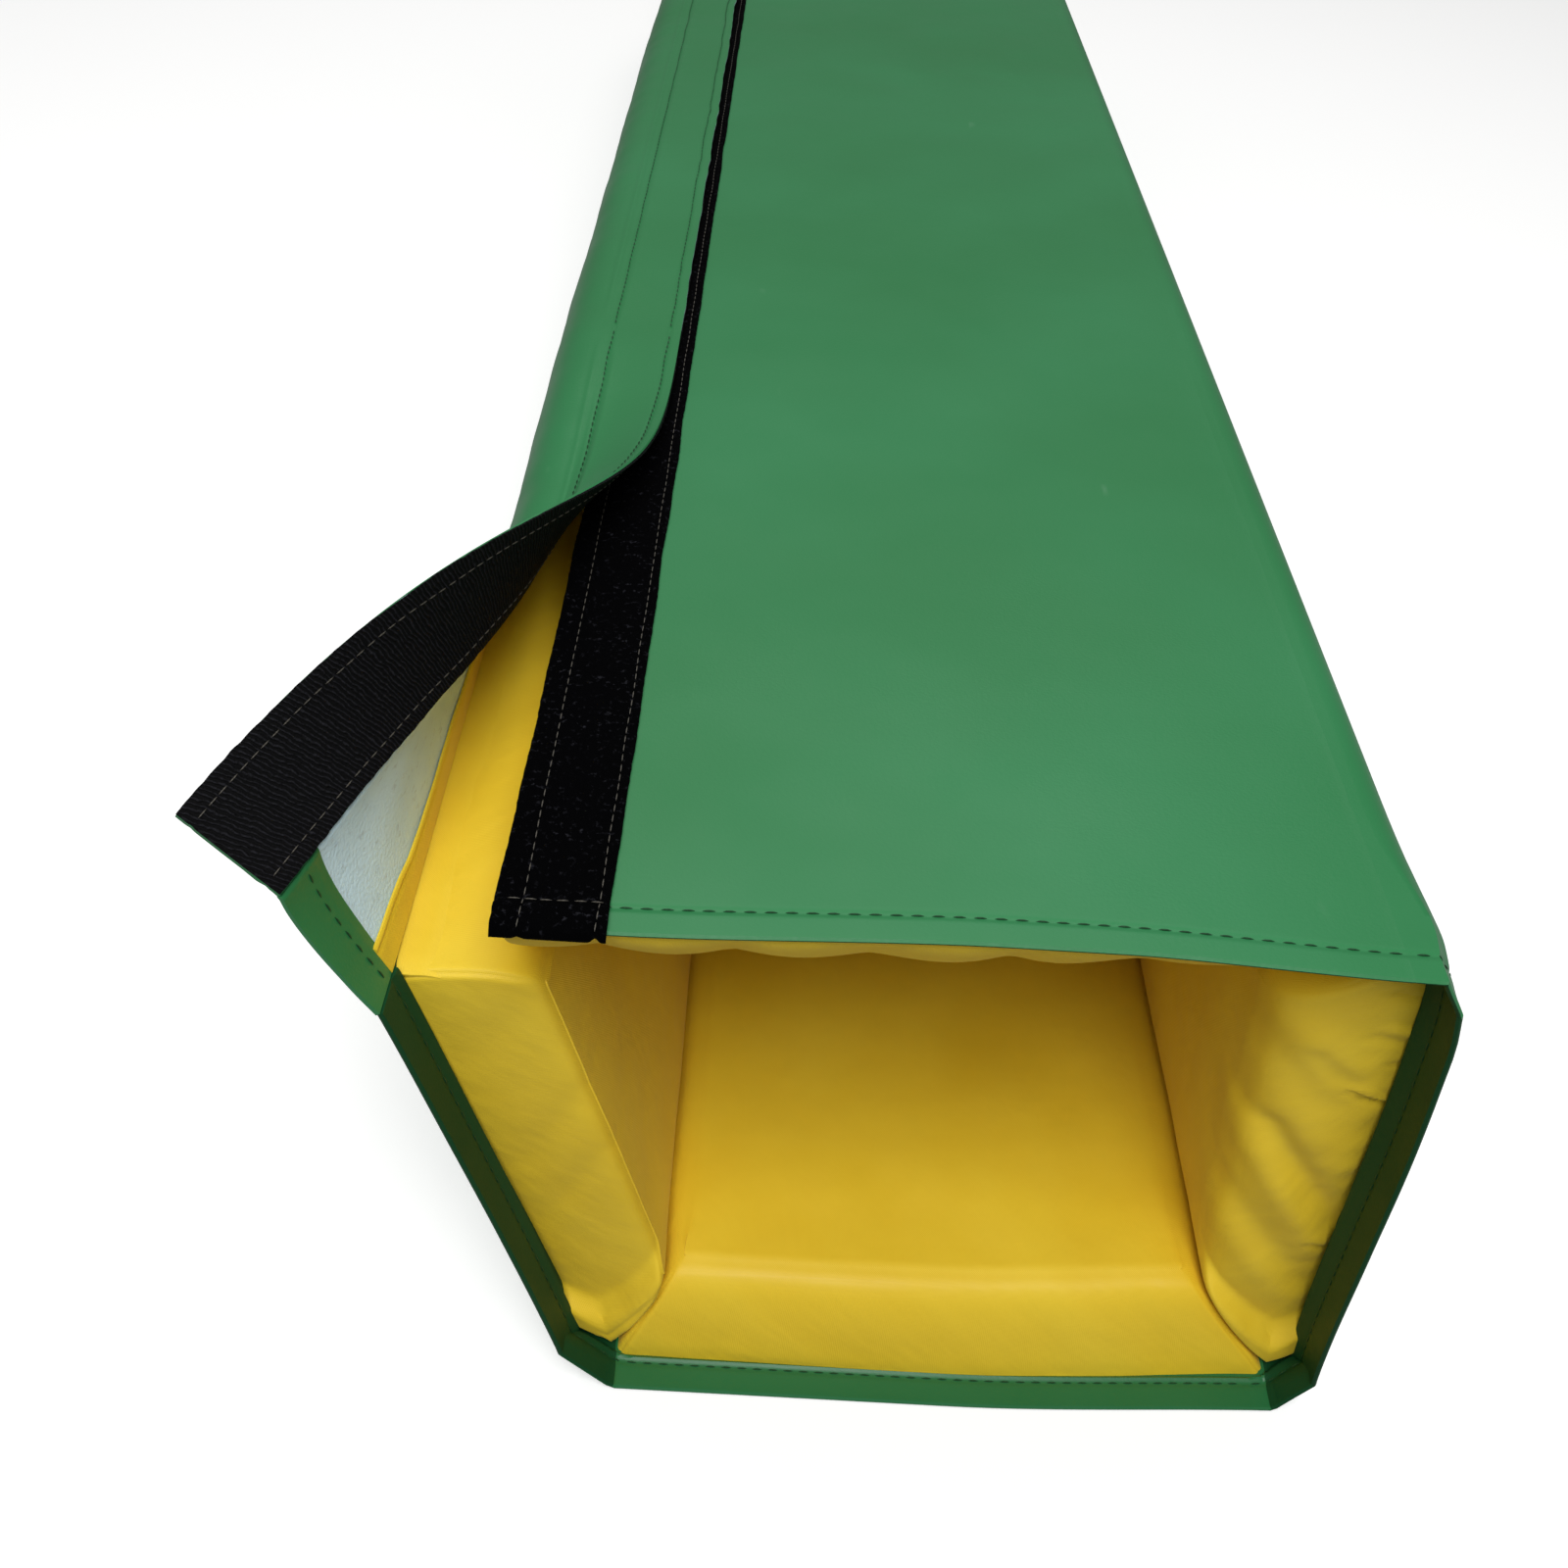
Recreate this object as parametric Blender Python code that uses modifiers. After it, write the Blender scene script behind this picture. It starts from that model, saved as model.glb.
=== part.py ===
"""Wrap-around pad for the post of a basketball stand, lying on its back panel with one end of its flap peeled open.

Four foam boards stand in sewn pockets: a coated cover outside, a nylon lining on the inner faces and on the ends.
The cover runs round three corners in one piece, which fold as hinges. At the fourth corner a flap reaches from the
left panel over the front panel, where its hook tape meets a loop tape. X is the width, Y the length with the opened
end at -Y, and Z is up from the floor that the back panel lies on. Metres and degrees.
"""

import math

import bmesh
import bpy
from mathutils import Matrix, Vector

# The pad as a whole: outer sizes of the closed section, and the boards in it
PAD_LENGTH = 1.800
BACK_WIDTH = 0.310
PAD_HEIGHT = 0.272
BOARD_THICKNESS = 0.050
FRONT_BOARD_THICKNESS = 0.045
LEFT_LEAN = 14.8
RIGHT_LEAN = 5.4
FRONT_LAP = 0.012

# Cover, lining and hems
COVER_THICKNESS = 0.0010
LINING_THICKNESS = 0.0006
FOAM_CLEARANCE = 0.0016
HEM_WIDTH = 0.0145
HEM_THICKNESS = 0.0022
BACK_RECESS = 0.016
LEFT_RECESS = 0.023
RIGHT_RECESS = 0.033
FRONT_RECESS = 0.020
CORNER_REACH = 0.012
CORNER_STEPS = 6
SEAT_GAP = 0.0003
MITRE_GAP = 0.0006

# Soft forms of the boards: rounded edges, puffed ends and a low crown
EDGE_ROUND = 0.012
MITRE_ROUND = 0.008
END_SLOPE = 0.009
END_PUFF = 0.0028
SEAM_TUCK = 0.0012
CROWN = 0.0030
CROWN_SPANS = 4
LENGTH_SPANS = 6

# Flap and its hook-and-loop closure
FLAP_THICKNESS = 0.0008
TAPE_THICKNESS = 0.0013
LOOP_THICKNESS = 0.0015
LOOP_WIDTH = 0.036
HOOK_WIDTH = 0.038
HOOK_OVERHANG = 0.009
HOOK_MARGIN = 0.003
ROOT_SEAM = 0.003
TAPE_SEAT = 0.0026
FLAP_HEM_THICKNESS = 0.0016
ROOT_HEEL = 84.0
BULGE_HANDLE = 0.026
PEEL_LENGTH = 0.410
PEEL_PAST_END = 0.072
PEEL_TURN = 156.0
PEEL_NEAR_INSET = 0.0292
PEEL_NEAR_DROP = 0.0073
PEEL_AXIS_TURN_OUT = 8.25
PEEL_AXIS_CLIMB = 1.47
PEEL_SLIP_OUT = 0.005
PEEL_SLIP_NEAR = 0.008
PEEL_STEPS = 24

NEAR_END = -PAD_LENGTH / 2
FAR_END = PAD_LENGTH / 2

COLOURS = {
    "vinyl": ("#3F7F50", 0.45),
    "lining": ("#E6B91E", 0.60),
    "foam": ("#D9D6C8", 0.90),
    "loop": ("#101113", 0.95),
    "hook": ("#0B0C0E", 0.80),
    "backing": ("#C9D4D6", 0.85),
}


def clear_scene():
    for obj in list(bpy.data.objects):
        bpy.data.objects.remove(obj, do_unlink=True)


def linear_colour(hex_code):
    channels = [int(hex_code[i : i + 2], 16) / 255 for i in (1, 3, 5)]
    return [c / 12.92 if c <= 0.04045 else ((c + 0.055) / 1.055) ** 2.4 for c in channels] + [1.0]


def material(node, kind):
    hex_code, roughness = COLOURS[kind]
    mat = bpy.data.materials.new(node)
    mat.use_nodes = True
    shader = mat.node_tree.nodes["Principled BSDF"]
    shader.inputs["Base Color"].default_value = linear_colour(hex_code)
    shader.inputs["Roughness"].default_value = roughness
    shader.inputs["Metallic"].default_value = 0.0
    return mat


def plane_direction(degrees):
    """Unit vector in the section plane, at this angle from +X towards +Z."""
    return Vector((math.cos(math.radians(degrees)), 0.0, math.sin(math.radians(degrees))))


class Board:
    """A panel's own axes: along its outer face from a folding corner, and inwards through its thickness."""

    def __init__(self, corner, along, side, thickness):
        self.corner = corner
        self.along = plane_direction(along)
        self.inward = plane_direction(along + 90 * side)
        self.side = side
        self.thickness = thickness

    def point(self, s, y, d):
        return self.corner + self.along * s + self.inward * d + Vector((0.0, y, 0.0))


# Corners of the outer section, and the lengths of the four outer faces
BACK_LEFT = Vector((-BACK_WIDTH / 2, 0.0, 0.0))
BACK_RIGHT = Vector((BACK_WIDTH / 2, 0.0, 0.0))
RIGHT_FACE = PAD_HEIGHT / math.cos(math.radians(RIGHT_LEAN))
RIGHT_FRONT = BACK_RIGHT + plane_direction(90 + RIGHT_LEAN) * RIGHT_FACE
LEFT_TOP = PAD_HEIGHT - FRONT_BOARD_THICKNESS - 2 * SEAT_GAP
LEFT_FACE = LEFT_TOP / math.cos(math.radians(LEFT_LEAN))
FLAP_ROOT = BACK_LEFT + plane_direction(90 + LEFT_LEAN) * LEFT_FACE
LEFT_INNER_TOP = FLAP_ROOT.x + BOARD_THICKNESS / math.cos(math.radians(LEFT_LEAN))
FRONT_EDGE = LEFT_INNER_TOP - FRONT_LAP
FRONT_FACE = RIGHT_FRONT.x - FRONT_EDGE

BACK = Board(BACK_LEFT, 0.0, 1, BOARD_THICKNESS)
LEFT = Board(BACK_LEFT, 90 + LEFT_LEAN, -1, BOARD_THICKNESS)
RIGHT = Board(BACK_RIGHT, 90 + RIGHT_LEAN, 1, BOARD_THICKNESS)
FRONT = Board(RIGHT_FRONT, 180.0, 1, FRONT_BOARD_THICKNESS)

# Inside angles of the three folded corners, and the closed flap's levels
ANGLE_BACK_LEFT = 90 + LEFT_LEAN
ANGLE_BACK_RIGHT = 90 - RIGHT_LEAN
ANGLE_RIGHT_FRONT = 90 + RIGHT_LEAN
FLAP_TOP = PAD_HEIGHT + LOOP_THICKNESS + TAPE_SEAT + TAPE_THICKNESS + FLAP_THICKNESS + 3 * SEAT_GAP
TAPE_INNER = Vector((FRONT_EDGE - HOOK_OVERHANG, 0.0, FLAP_TOP))
TAPE_FREE = Vector((TAPE_INNER.x + HOOK_WIDTH, 0.0, FLAP_TOP))

# Line that the near end of the tape strip turns about as it peels: it climbs inwards along the pad
PEEL_POINT = Vector((TAPE_INNER.x - PEEL_NEAR_INSET, NEAR_END, FLAP_TOP - PEEL_NEAR_DROP))
PEEL_AXIS = Vector(
    (
        math.tan(math.radians(PEEL_AXIS_TURN_OUT)),
        1.0,
        math.tan(math.radians(PEEL_AXIS_CLIMB)),
    )
).normalized()


def slope(angle):
    """How far a mitre plane runs along the face for each step through the thickness."""
    return 1 / math.tan(math.radians(angle / 2))


def add_empty(name, location, parent=None):
    empty = bpy.data.objects.new(name, None)
    empty.empty_display_size = 0.05
    bpy.context.scene.collection.objects.link(empty)
    empty.parent = parent
    empty.location = location - (parent.matrix_world.translation if parent else Vector())
    bpy.context.view_layer.update()
    return empty


def add_object(collection, name, data, kind, hinge):
    obj = bpy.data.objects.new(name, data)
    collection.objects.link(obj)
    data.materials.append(material(name, kind))
    obj.parent = hinge
    return obj


def mesh_from(bm, name, hinge):
    """Writes the bmesh, given in world places, as a mesh around its hinge's origin."""
    bmesh.ops.transform(
        bm, matrix=Matrix.Translation(-hinge.matrix_world.translation), verts=bm.verts
    )
    mesh = bpy.data.meshes.new(name)
    bm.to_mesh(mesh)
    bm.free()
    return mesh


def place_on(bm, board):
    for vert in bm.verts:
        vert.co = board.point(*vert.co)
    if board.side < 0:
        bmesh.ops.reverse_faces(bm, faces=bm.faces)


def add_plate(collection, name, kind, hinge, board, spans, depth):
    """A flat rectangular piece on a panel: spans along the face and along the pad, and a depth range."""
    bm = bmesh.new()
    bmesh.ops.create_cube(bm, size=1.0)
    (s0, s1), (y0, y1) = spans
    d0, d1 = depth
    size = Vector((s1 - s0, y1 - y0, d1 - d0, 1.0))
    centre = Vector(((s0 + s1) / 2, (y0 + y1) / 2, (d0 + d1) / 2))
    bmesh.ops.transform(
        bm, matrix=Matrix.Translation(centre) @ Matrix.Diagonal(size), verts=bm.verts
    )
    place_on(bm, board)
    return add_object(collection, name, mesh_from(bm, name, hinge), kind, hinge)


def add_outline(collection, name, kind, hinge, outline, y_range):
    """Extrudes a closed outline of the section along the pad, as a flat curve that stands upright."""
    y0, y1 = y_range
    centre = Vector((0.0, (y0 + y1) / 2, 0.0))
    curve = bpy.data.curves.new(name, "CURVE")
    curve.dimensions = "2D"
    curve.fill_mode = "BOTH"
    curve.extrude = (y1 - y0) / 2
    spline = curve.splines.new("POLY")
    spline.points.add(len(outline) - 1)
    spline.use_cyclic_u = True
    offset = hinge.matrix_world.translation
    for point, place in zip(spline.points, outline):
        point.co = (place.x - offset.x, place.z - offset.z, 0.0, 1.0)
    obj = add_object(collection, name, curve, kind, hinge)
    obj.rotation_euler = (math.pi / 2, 0.0, 0.0)
    obj.location = (0.0, centre.y - offset.y, 0.0)
    return obj


def band(path, inner, outer):
    """Closed outline of a strip that follows a path of section points, between two offsets to its left."""
    normals = []
    for i, place in enumerate(path):
        before = path[max(i - 1, 0)]
        after = path[min(i + 1, len(path) - 1)]
        run = (after - before).normalized()
        normals.append(Vector((-run.z, 0.0, run.x)))
    first = [place + normal * inner for place, normal in zip(path, normals)]
    second = [place + normal * outer for place, normal in zip(path, normals)]
    return first + second[::-1]


def corner_path(first, first_length, second, second_start):
    """Arc round a folded corner, from a face's end to the next face's start, both CORNER_REACH away."""
    start = first.point(first_length, 0.0, 0.0)
    end = second.point(second_start, 0.0, 0.0)
    half = first.inward.angle(second.inward) / 2
    radius = CORNER_REACH / math.tan(half)
    centre = start + first.inward * radius
    from_angle = math.atan2(-first.inward.z, -first.inward.x)
    to_angle = math.atan2(-second.inward.z, -second.inward.x)
    turn = (to_angle - from_angle + math.pi) % (2 * math.pi) - math.pi
    arc = []
    for i in range(CORNER_STEPS + 1):
        angle = from_angle + turn * i / CORNER_STEPS
        arc.append(centre + Vector((math.cos(angle), 0.0, math.sin(angle))) * radius)
    arc[-1] = end
    return arc


# Height of each ring of a board's rounded form, as a share of its thickness, from the seam to the flat
RING_HEIGHTS = (0.0, 0.16, 0.6, 0.93, 1.0)
LAST_RING = len(RING_HEIGHTS) - 1
RING_SPREAD = 0.0035
CORNER_CUT = 0.0015


def mitred_insets():
    """Insets of the rings on an end that meets the next board at a mitre, clear of the folded corner."""
    return (CORNER_REACH + SEAT_GAP, 0.0, 0.0, 0.3 * MITRE_ROUND, MITRE_ROUND)


def free_insets():
    """Insets of the rings on an edge that stands free: drawn in at the seam and puffed out above it."""
    return (SEAM_TUCK, -0.6 * END_PUFF, -END_PUFF, 0.25 * EDGE_ROUND, EDGE_ROUND)


def sloped_insets():
    """Insets of the rings on a board's short ends, where the lining slopes back from the hem's seam."""
    puffed = [END_SLOPE * h - END_PUFF * math.sin(math.pi * h) for h in RING_HEIGHTS]
    return (*puffed[:3], puffed[3] + 0.25 * EDGE_ROUND, puffed[4] + EDGE_ROUND)


def ring_inset(own, other, insets):
    """Inset of a grid line at ring own, where the surface at ring other is reached first; corners are cut."""
    if own == other < LAST_RING:
        return insets[own] + CORNER_CUT
    if own <= other:
        return insets[own]
    return max(insets[own], insets[other] + RING_SPREAD * (own - other))


def crown_share(u):
    """1 at the middle of a face and 0 at its edges, flat in the middle."""
    return 1 - (2 * u - 1) ** 4


def cushion_grid(board, ends, length, shrink):
    """Open surface over a board: puffed sides from the seam, rounded edges and a low crown.

    ends gives, for the start and the end of the face, a function of depth and the insets of its rings. The grid's
    lines near a border climb the side ring by ring, and those between share the face. shrink moves it all inwards.
    """
    columns = 2 * LAST_RING + CROWN_SPANS
    rows = 2 * LAST_RING + LENGTH_SPANS
    bm = bmesh.new()
    bmesh.ops.create_grid(bm, x_segments=columns, y_segments=rows, size=0.5)
    base = COVER_THICKNESS + SEAT_GAP
    y_low, y_high = length
    end_insets = sloped_insets()
    for vert in bm.verts:
        i = round((vert.co.x + 0.5) * columns)
        j = round((vert.co.y + 0.5) * rows)
        own_s = min(i, columns - i, LAST_RING)
        own_y = min(j, rows - j, LAST_RING)
        share_s = min(max((i - LAST_RING) / CROWN_SPANS, 0.0), 1.0)
        share_y = min(max((j - LAST_RING) / LENGTH_SPANS, 0.0), 1.0)
        full = board.thickness - shrink - base
        full -= CROWN * (1 - crown_share(share_s) * crown_share(share_y))
        depth = base + full * RING_HEIGHTS[min(own_s, own_y)]
        low, low_insets = ends[0]
        high, high_insets = ends[1]
        s_low = low(depth) + shrink + ring_inset(own_s, own_y, low_insets)
        s_high = high(depth) - shrink - ring_inset(own_s, own_y, high_insets)
        y_in = shrink + ring_inset(own_y, own_s, end_insets)
        vert.co.x = s_low + (s_high - s_low) * share_s
        vert.co.y = (y_low + y_in) + (y_high - y_low - 2 * y_in) * share_y
        vert.co.z = depth
    return bm


def add_lining(collection, name, hinge, board, ends, length):
    """Nylon skin over a board's inner face, sides and ends, open towards the cover."""
    bm = cushion_grid(board, ends, length, 0.0)
    place_on(bm, board)
    obj = add_object(collection, name, mesh_from(bm, name, hinge), "lining", hinge)
    skin = obj.modifiers.new("thickness", "SOLIDIFY")
    skin.thickness = LINING_THICKNESS
    skin.offset = -1.0
    return obj


def add_foam(collection, name, hinge, board, ends, length):
    """Foam board under its lining, flat towards the cover."""
    bm = cushion_grid(board, ends, length, LINING_THICKNESS + FOAM_CLEARANCE)
    rim = [edge for edge in bm.edges if edge.is_boundary]
    bmesh.ops.holes_fill(bm, edges=rim, sides=0)
    place_on(bm, board)
    bmesh.ops.recalc_face_normals(bm, faces=bm.faces)
    if bm.calc_volume(signed=True) < 0:
        bmesh.ops.reverse_faces(bm, faces=bm.faces)
    return add_object(collection, name, mesh_from(bm, name, hinge), "foam", hinge)


def add_panel(collection, name, hinge, board, cover, ends, recess):
    """One panel: cover, foam, lining, and a folded hem at each end of the cover."""
    hem_in = HEM_WIDTH + SEAT_GAP
    middle = (NEAR_END + hem_in, FAR_END - hem_in)
    add_plate(
        collection, f"{name}_cover", "vinyl", hinge, board, (cover, middle), (0.0, COVER_THICKNESS)
    )
    add_plate(
        collection,
        f"{name}_hem_near",
        "vinyl",
        hinge,
        board,
        (cover, (NEAR_END, NEAR_END + HEM_WIDTH)),
        (0.0, HEM_THICKNESS),
    )
    add_plate(
        collection,
        f"{name}_hem_far",
        "vinyl",
        hinge,
        board,
        (cover, (FAR_END - HEM_WIDTH, FAR_END)),
        (0.0, HEM_THICKNESS),
    )
    length = (NEAR_END + recess, FAR_END - recess)
    add_lining(collection, f"{name}_lining", hinge, board, ends, length)
    add_foam(collection, f"{name}_foam", hinge, board, ends, length)


def mitre_start(angle):
    return (lambda depth: depth * slope(angle) + MITRE_GAP / 2, mitred_insets())


def mitre_end(face, angle):
    return (lambda depth: face - depth * slope(angle) - MITRE_GAP / 2, mitred_insets())


def square_end(face):
    """The front board's left end, cut square; its puffed skin stays inside the cover's edge."""
    return (lambda depth: face - END_PUFF, free_insets())


def level_end():
    """The left board's upper end, cut level under the front board."""
    lean = math.radians(LEFT_LEAN)
    top = LEFT_TOP - END_PUFF - SEAT_GAP
    return (lambda depth: (top - depth * math.sin(lean)) / math.cos(lean), free_insets())


def closed_root_path(steps):
    """The closed flap from its root to the tape: it leaves the left face upwards and bulges over the corner."""
    handle_root = FLAP_ROOT + plane_direction(ROOT_HEEL) * BULGE_HANDLE
    handle_tape = TAPE_INNER - Vector((BULGE_HANDLE, 0.0, 0.0))
    places = []
    for i in range(steps + 1):
        t = i / steps
        weights = ((1 - t) ** 3, 3 * t * (1 - t) ** 2, 3 * t * t * (1 - t), t**3)
        corners = (FLAP_ROOT, handle_root, handle_tape, TAPE_INNER)
        places.append(sum((corner * w for corner, w in zip(corners, weights)), Vector()))
    return places


def smooth_step(t):
    t = min(max(t, 0.0), 1.0)
    return t * t * (3 - 2 * t)


def peel_share(along):
    """How far the flap is peeled at a distance from its near end: 0 past PEEL_LENGTH, and nearly 1 at the end."""
    return smooth_step((PEEL_LENGTH - along) / (PEEL_LENGTH + PEEL_PAST_END))


def peeled(place, along):
    """Turns a place on the closed tape strip about the peel line, by its share of the opening.

    The slack cloth also slips a little outwards and past the end, and the share follows the peel line.
    """
    slip = Vector((-PEEL_SLIP_OUT, -PEEL_SLIP_NEAR, 0.0)) * peel_share(along)
    arm = place + Vector((0.0, NEAR_END + along, 0.0)) + slip - PEEL_POINT
    turn = Matrix.Rotation(-math.radians(PEEL_TURN) * peel_share(arm.dot(PEEL_AXIS)), 3, PEEL_AXIS)
    return PEEL_POINT + turn @ arm


def tape_place(u, along, depth):
    """A place on the near tape strip: u across it, depth in from the cover's outer face."""
    return peeled(TAPE_INNER + Vector((HOOK_WIDTH * u, 0.0, -depth)), along)


def strip_place(u, along, depth):
    """A place on the near edge strip, with its four columns lined up with the hook tape's edges and middle."""
    margin = HOOK_MARGIN / HOOK_WIDTH
    stops = (0.0, margin, 0.5, 1 - margin, 1.0)
    low = min(int(u * 4 + 0.001), 3)
    return tape_place(stops[low] + (stops[low + 1] - stops[low]) * (u * 4 - low), along, depth)


def hook_place(u, along, depth):
    """A place on the near hook tape, which is sewn on a little inside the strip's edges."""
    margin = HOOK_MARGIN / HOOK_WIDTH
    return tape_place(margin + (1 - 2 * margin) * u, along, depth)


def root_place(u, along, depth):
    """A place on the near root strip: bulged like the closed flap far in, and straight at the opened end."""
    end = tape_place(0.0, along, 0.0)
    start = FLAP_ROOT + Vector((0.0, NEAR_END + along, 0.0))
    path = closed_root_path(PEEL_STEPS)
    at = u * PEEL_STEPS
    low = min(int(at), PEEL_STEPS - 1)
    closed = path[low].lerp(path[low + 1], at - low)
    chord = TAPE_INNER - FLAP_ROOT
    run = (closed - FLAP_ROOT).dot(chord) / chord.length_squared
    rise = (closed - FLAP_ROOT - chord * run).length / chord.length
    reach = end - start
    outward = Vector((-reach.z, 0.0, reach.x)).normalized()
    flat = smooth_step(2 * peel_share(along))
    bulge = rise * (1 - flat) * reach.length
    seat = SEAT_GAP * (2 * u - 1)
    return start + reach * run + outward * (bulge - depth) - reach.normalized() * seat


def add_sheet(collection, name, kind, hinge, place, along, steps, layer):
    """A thin sheet over place(u, along, depth), from its outer depth inwards by its thickness."""
    outer, thickness = layer
    columns, rows = steps
    bm = bmesh.new()
    bmesh.ops.create_grid(bm, x_segments=columns, y_segments=rows, size=0.5)
    for vert in bm.verts:
        u = vert.co.x + 0.5
        v = vert.co.y + 0.5
        vert.co = place(u, along[0] + (along[1] - along[0]) * v, outer)
    obj = add_object(collection, name, mesh_from(bm, name, hinge), kind, hinge)
    skin = obj.modifiers.new("thickness", "SOLIDIFY")
    skin.thickness = thickness
    skin.offset = -1.0
    skin.use_even_offset = True
    return obj


def add_closed_flap(collection, hinge):
    """The far length of the flap, closed over the corner and pressed on the loop tape."""
    path = closed_root_path(PEEL_STEPS)[1:] + [TAPE_FREE]
    start = NEAR_END + PEEL_LENGTH + SEAT_GAP
    hem = FAR_END - HEM_WIDTH
    add_outline(
        collection, "flap_cover", "vinyl", hinge, band(path, -FLAP_THICKNESS, 0.0), (start, hem)
    )
    add_outline(
        collection,
        "flap_hem_far",
        "vinyl",
        hinge,
        band(path, -FLAP_HEM_THICKNESS, 0.0),
        (hem + SEAT_GAP, FAR_END),
    )
    margin = Vector((HOOK_MARGIN, 0.0, 0.0))
    tape = [TAPE_INNER + margin, TAPE_FREE - margin]
    under = FLAP_THICKNESS + SEAT_GAP
    add_outline(
        collection,
        "hook_tape",
        "hook",
        hinge,
        band(tape, -under - TAPE_THICKNESS, -under),
        (start, hem - SEAT_GAP),
    )


def add_peeled_flap(collection, root_hinge, tape_hinge):
    """The near length of the flap, peeled open: a root strip and a tape strip that turn about their own lines."""
    inside = (HEM_WIDTH + SEAT_GAP, PEEL_LENGTH)
    hem = (0.0, HEM_WIDTH)
    add_sheet(
        collection,
        "flap_root_near",
        "backing",
        root_hinge,
        root_place,
        inside,
        (5, PEEL_STEPS),
        (0.0, FLAP_THICKNESS),
    )
    add_sheet(
        collection,
        "flap_root_hem_near",
        "vinyl",
        root_hinge,
        root_place,
        hem,
        (5, 2),
        (0.0, FLAP_HEM_THICKNESS),
    )
    add_sheet(
        collection,
        "flap_edge_near",
        "vinyl",
        tape_hinge,
        strip_place,
        (0.0, PEEL_LENGTH),
        (4, PEEL_STEPS),
        (0.0, FLAP_THICKNESS),
    )
    add_sheet(
        collection,
        "hook_tape_near",
        "hook",
        tape_hinge,
        hook_place,
        (0.0, PEEL_LENGTH),
        (2, PEEL_STEPS),
        (FLAP_THICKNESS + 2 * SEAT_GAP, TAPE_THICKNESS),
    )


def add_corner(collection, name, hinge, path):
    add_outline(
        collection, name, "vinyl", hinge, band(path, 0.0, COVER_THICKNESS), (NEAR_END, FAR_END)
    )


def main():
    clear_scene()
    pad = bpy.data.collections.new("post_pad")
    bpy.context.scene.collection.children.link(pad)
    floor = add_empty("back_panel", Vector((0.0, 0.0, 0.0)))
    left = add_empty("left_fold", BACK_LEFT, floor)
    right = add_empty("right_fold", BACK_RIGHT, floor)
    front = add_empty("front_fold", RIGHT_FRONT, right)
    flap = add_empty("flap_fold", FLAP_ROOT, left)
    flap_root = add_empty("flap_near_fold", FLAP_ROOT, flap)
    flap_tape = add_empty("flap_peel_line", PEEL_POINT, flap)

    fold = CORNER_REACH + SEAT_GAP
    add_panel(
        pad,
        "back",
        floor,
        BACK,
        (fold, BACK_WIDTH - fold),
        (mitre_start(ANGLE_BACK_LEFT), mitre_end(BACK_WIDTH, ANGLE_BACK_RIGHT)),
        BACK_RECESS,
    )
    add_panel(
        pad,
        "left",
        left,
        LEFT,
        (fold, LEFT_FACE - ROOT_SEAM),
        (mitre_start(ANGLE_BACK_LEFT), level_end()),
        LEFT_RECESS,
    )
    add_panel(
        pad,
        "right",
        right,
        RIGHT,
        (fold, RIGHT_FACE - fold),
        (mitre_start(ANGLE_BACK_RIGHT), mitre_end(RIGHT_FACE, ANGLE_RIGHT_FRONT)),
        RIGHT_RECESS,
    )
    add_panel(
        pad,
        "front",
        front,
        FRONT,
        (fold, FRONT_FACE),
        (mitre_start(ANGLE_RIGHT_FRONT), square_end(FRONT_FACE)),
        FRONT_RECESS,
    )

    reach = CORNER_REACH
    # The path round a corner runs with the pad's inside on its left, so the band lies inside the outer face
    around_left = corner_path(BACK, reach, LEFT, reach)[::-1]
    add_corner(pad, "corner_back_left", floor, around_left)
    around_right = corner_path(BACK, BACK_WIDTH - reach, RIGHT, reach)
    add_corner(pad, "corner_back_right", floor, around_right)
    around_front = corner_path(RIGHT, RIGHT_FACE - reach, FRONT, reach)
    add_corner(pad, "corner_right_front", right, around_front)

    loop_span = (FRONT_FACE - LOOP_WIDTH, FRONT_FACE)
    loop_depth = (-SEAT_GAP - LOOP_THICKNESS, -SEAT_GAP)
    add_plate(
        pad, "loop_tape", "loop", front, FRONT, (loop_span, (NEAR_END, FAR_END)), loop_depth
    )
    add_closed_flap(pad, flap)
    add_peeled_flap(pad, flap_root, flap_tape)
    bpy.context.view_layer.update()
    for empty in (left, right, front, flap_root, flap_tape):
        place = empty.matrix_world.translation
        print(f"{empty.name}: {place.x:.5f} {place.y:.5f} {place.z:.5f}")
    print(f"peel axis: {PEEL_AXIS.x:.5f} {PEEL_AXIS.y:.5f} {PEEL_AXIS.z:.5f}")


if __name__ == "__main__":
    main()
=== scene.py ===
"""Dresses the wrap-around post pad: vinyl cover with hems and folded corners, yellow nylon linings over
foam boards, and a hook-and-loop flap whose near length is peeled open.

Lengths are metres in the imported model's frame: X is the width, Y the length with the opened end at -Y, and
Z is up. On each panel, s runs along its outer face from a fold, and d runs inwards from that face.
"""

import math

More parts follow.
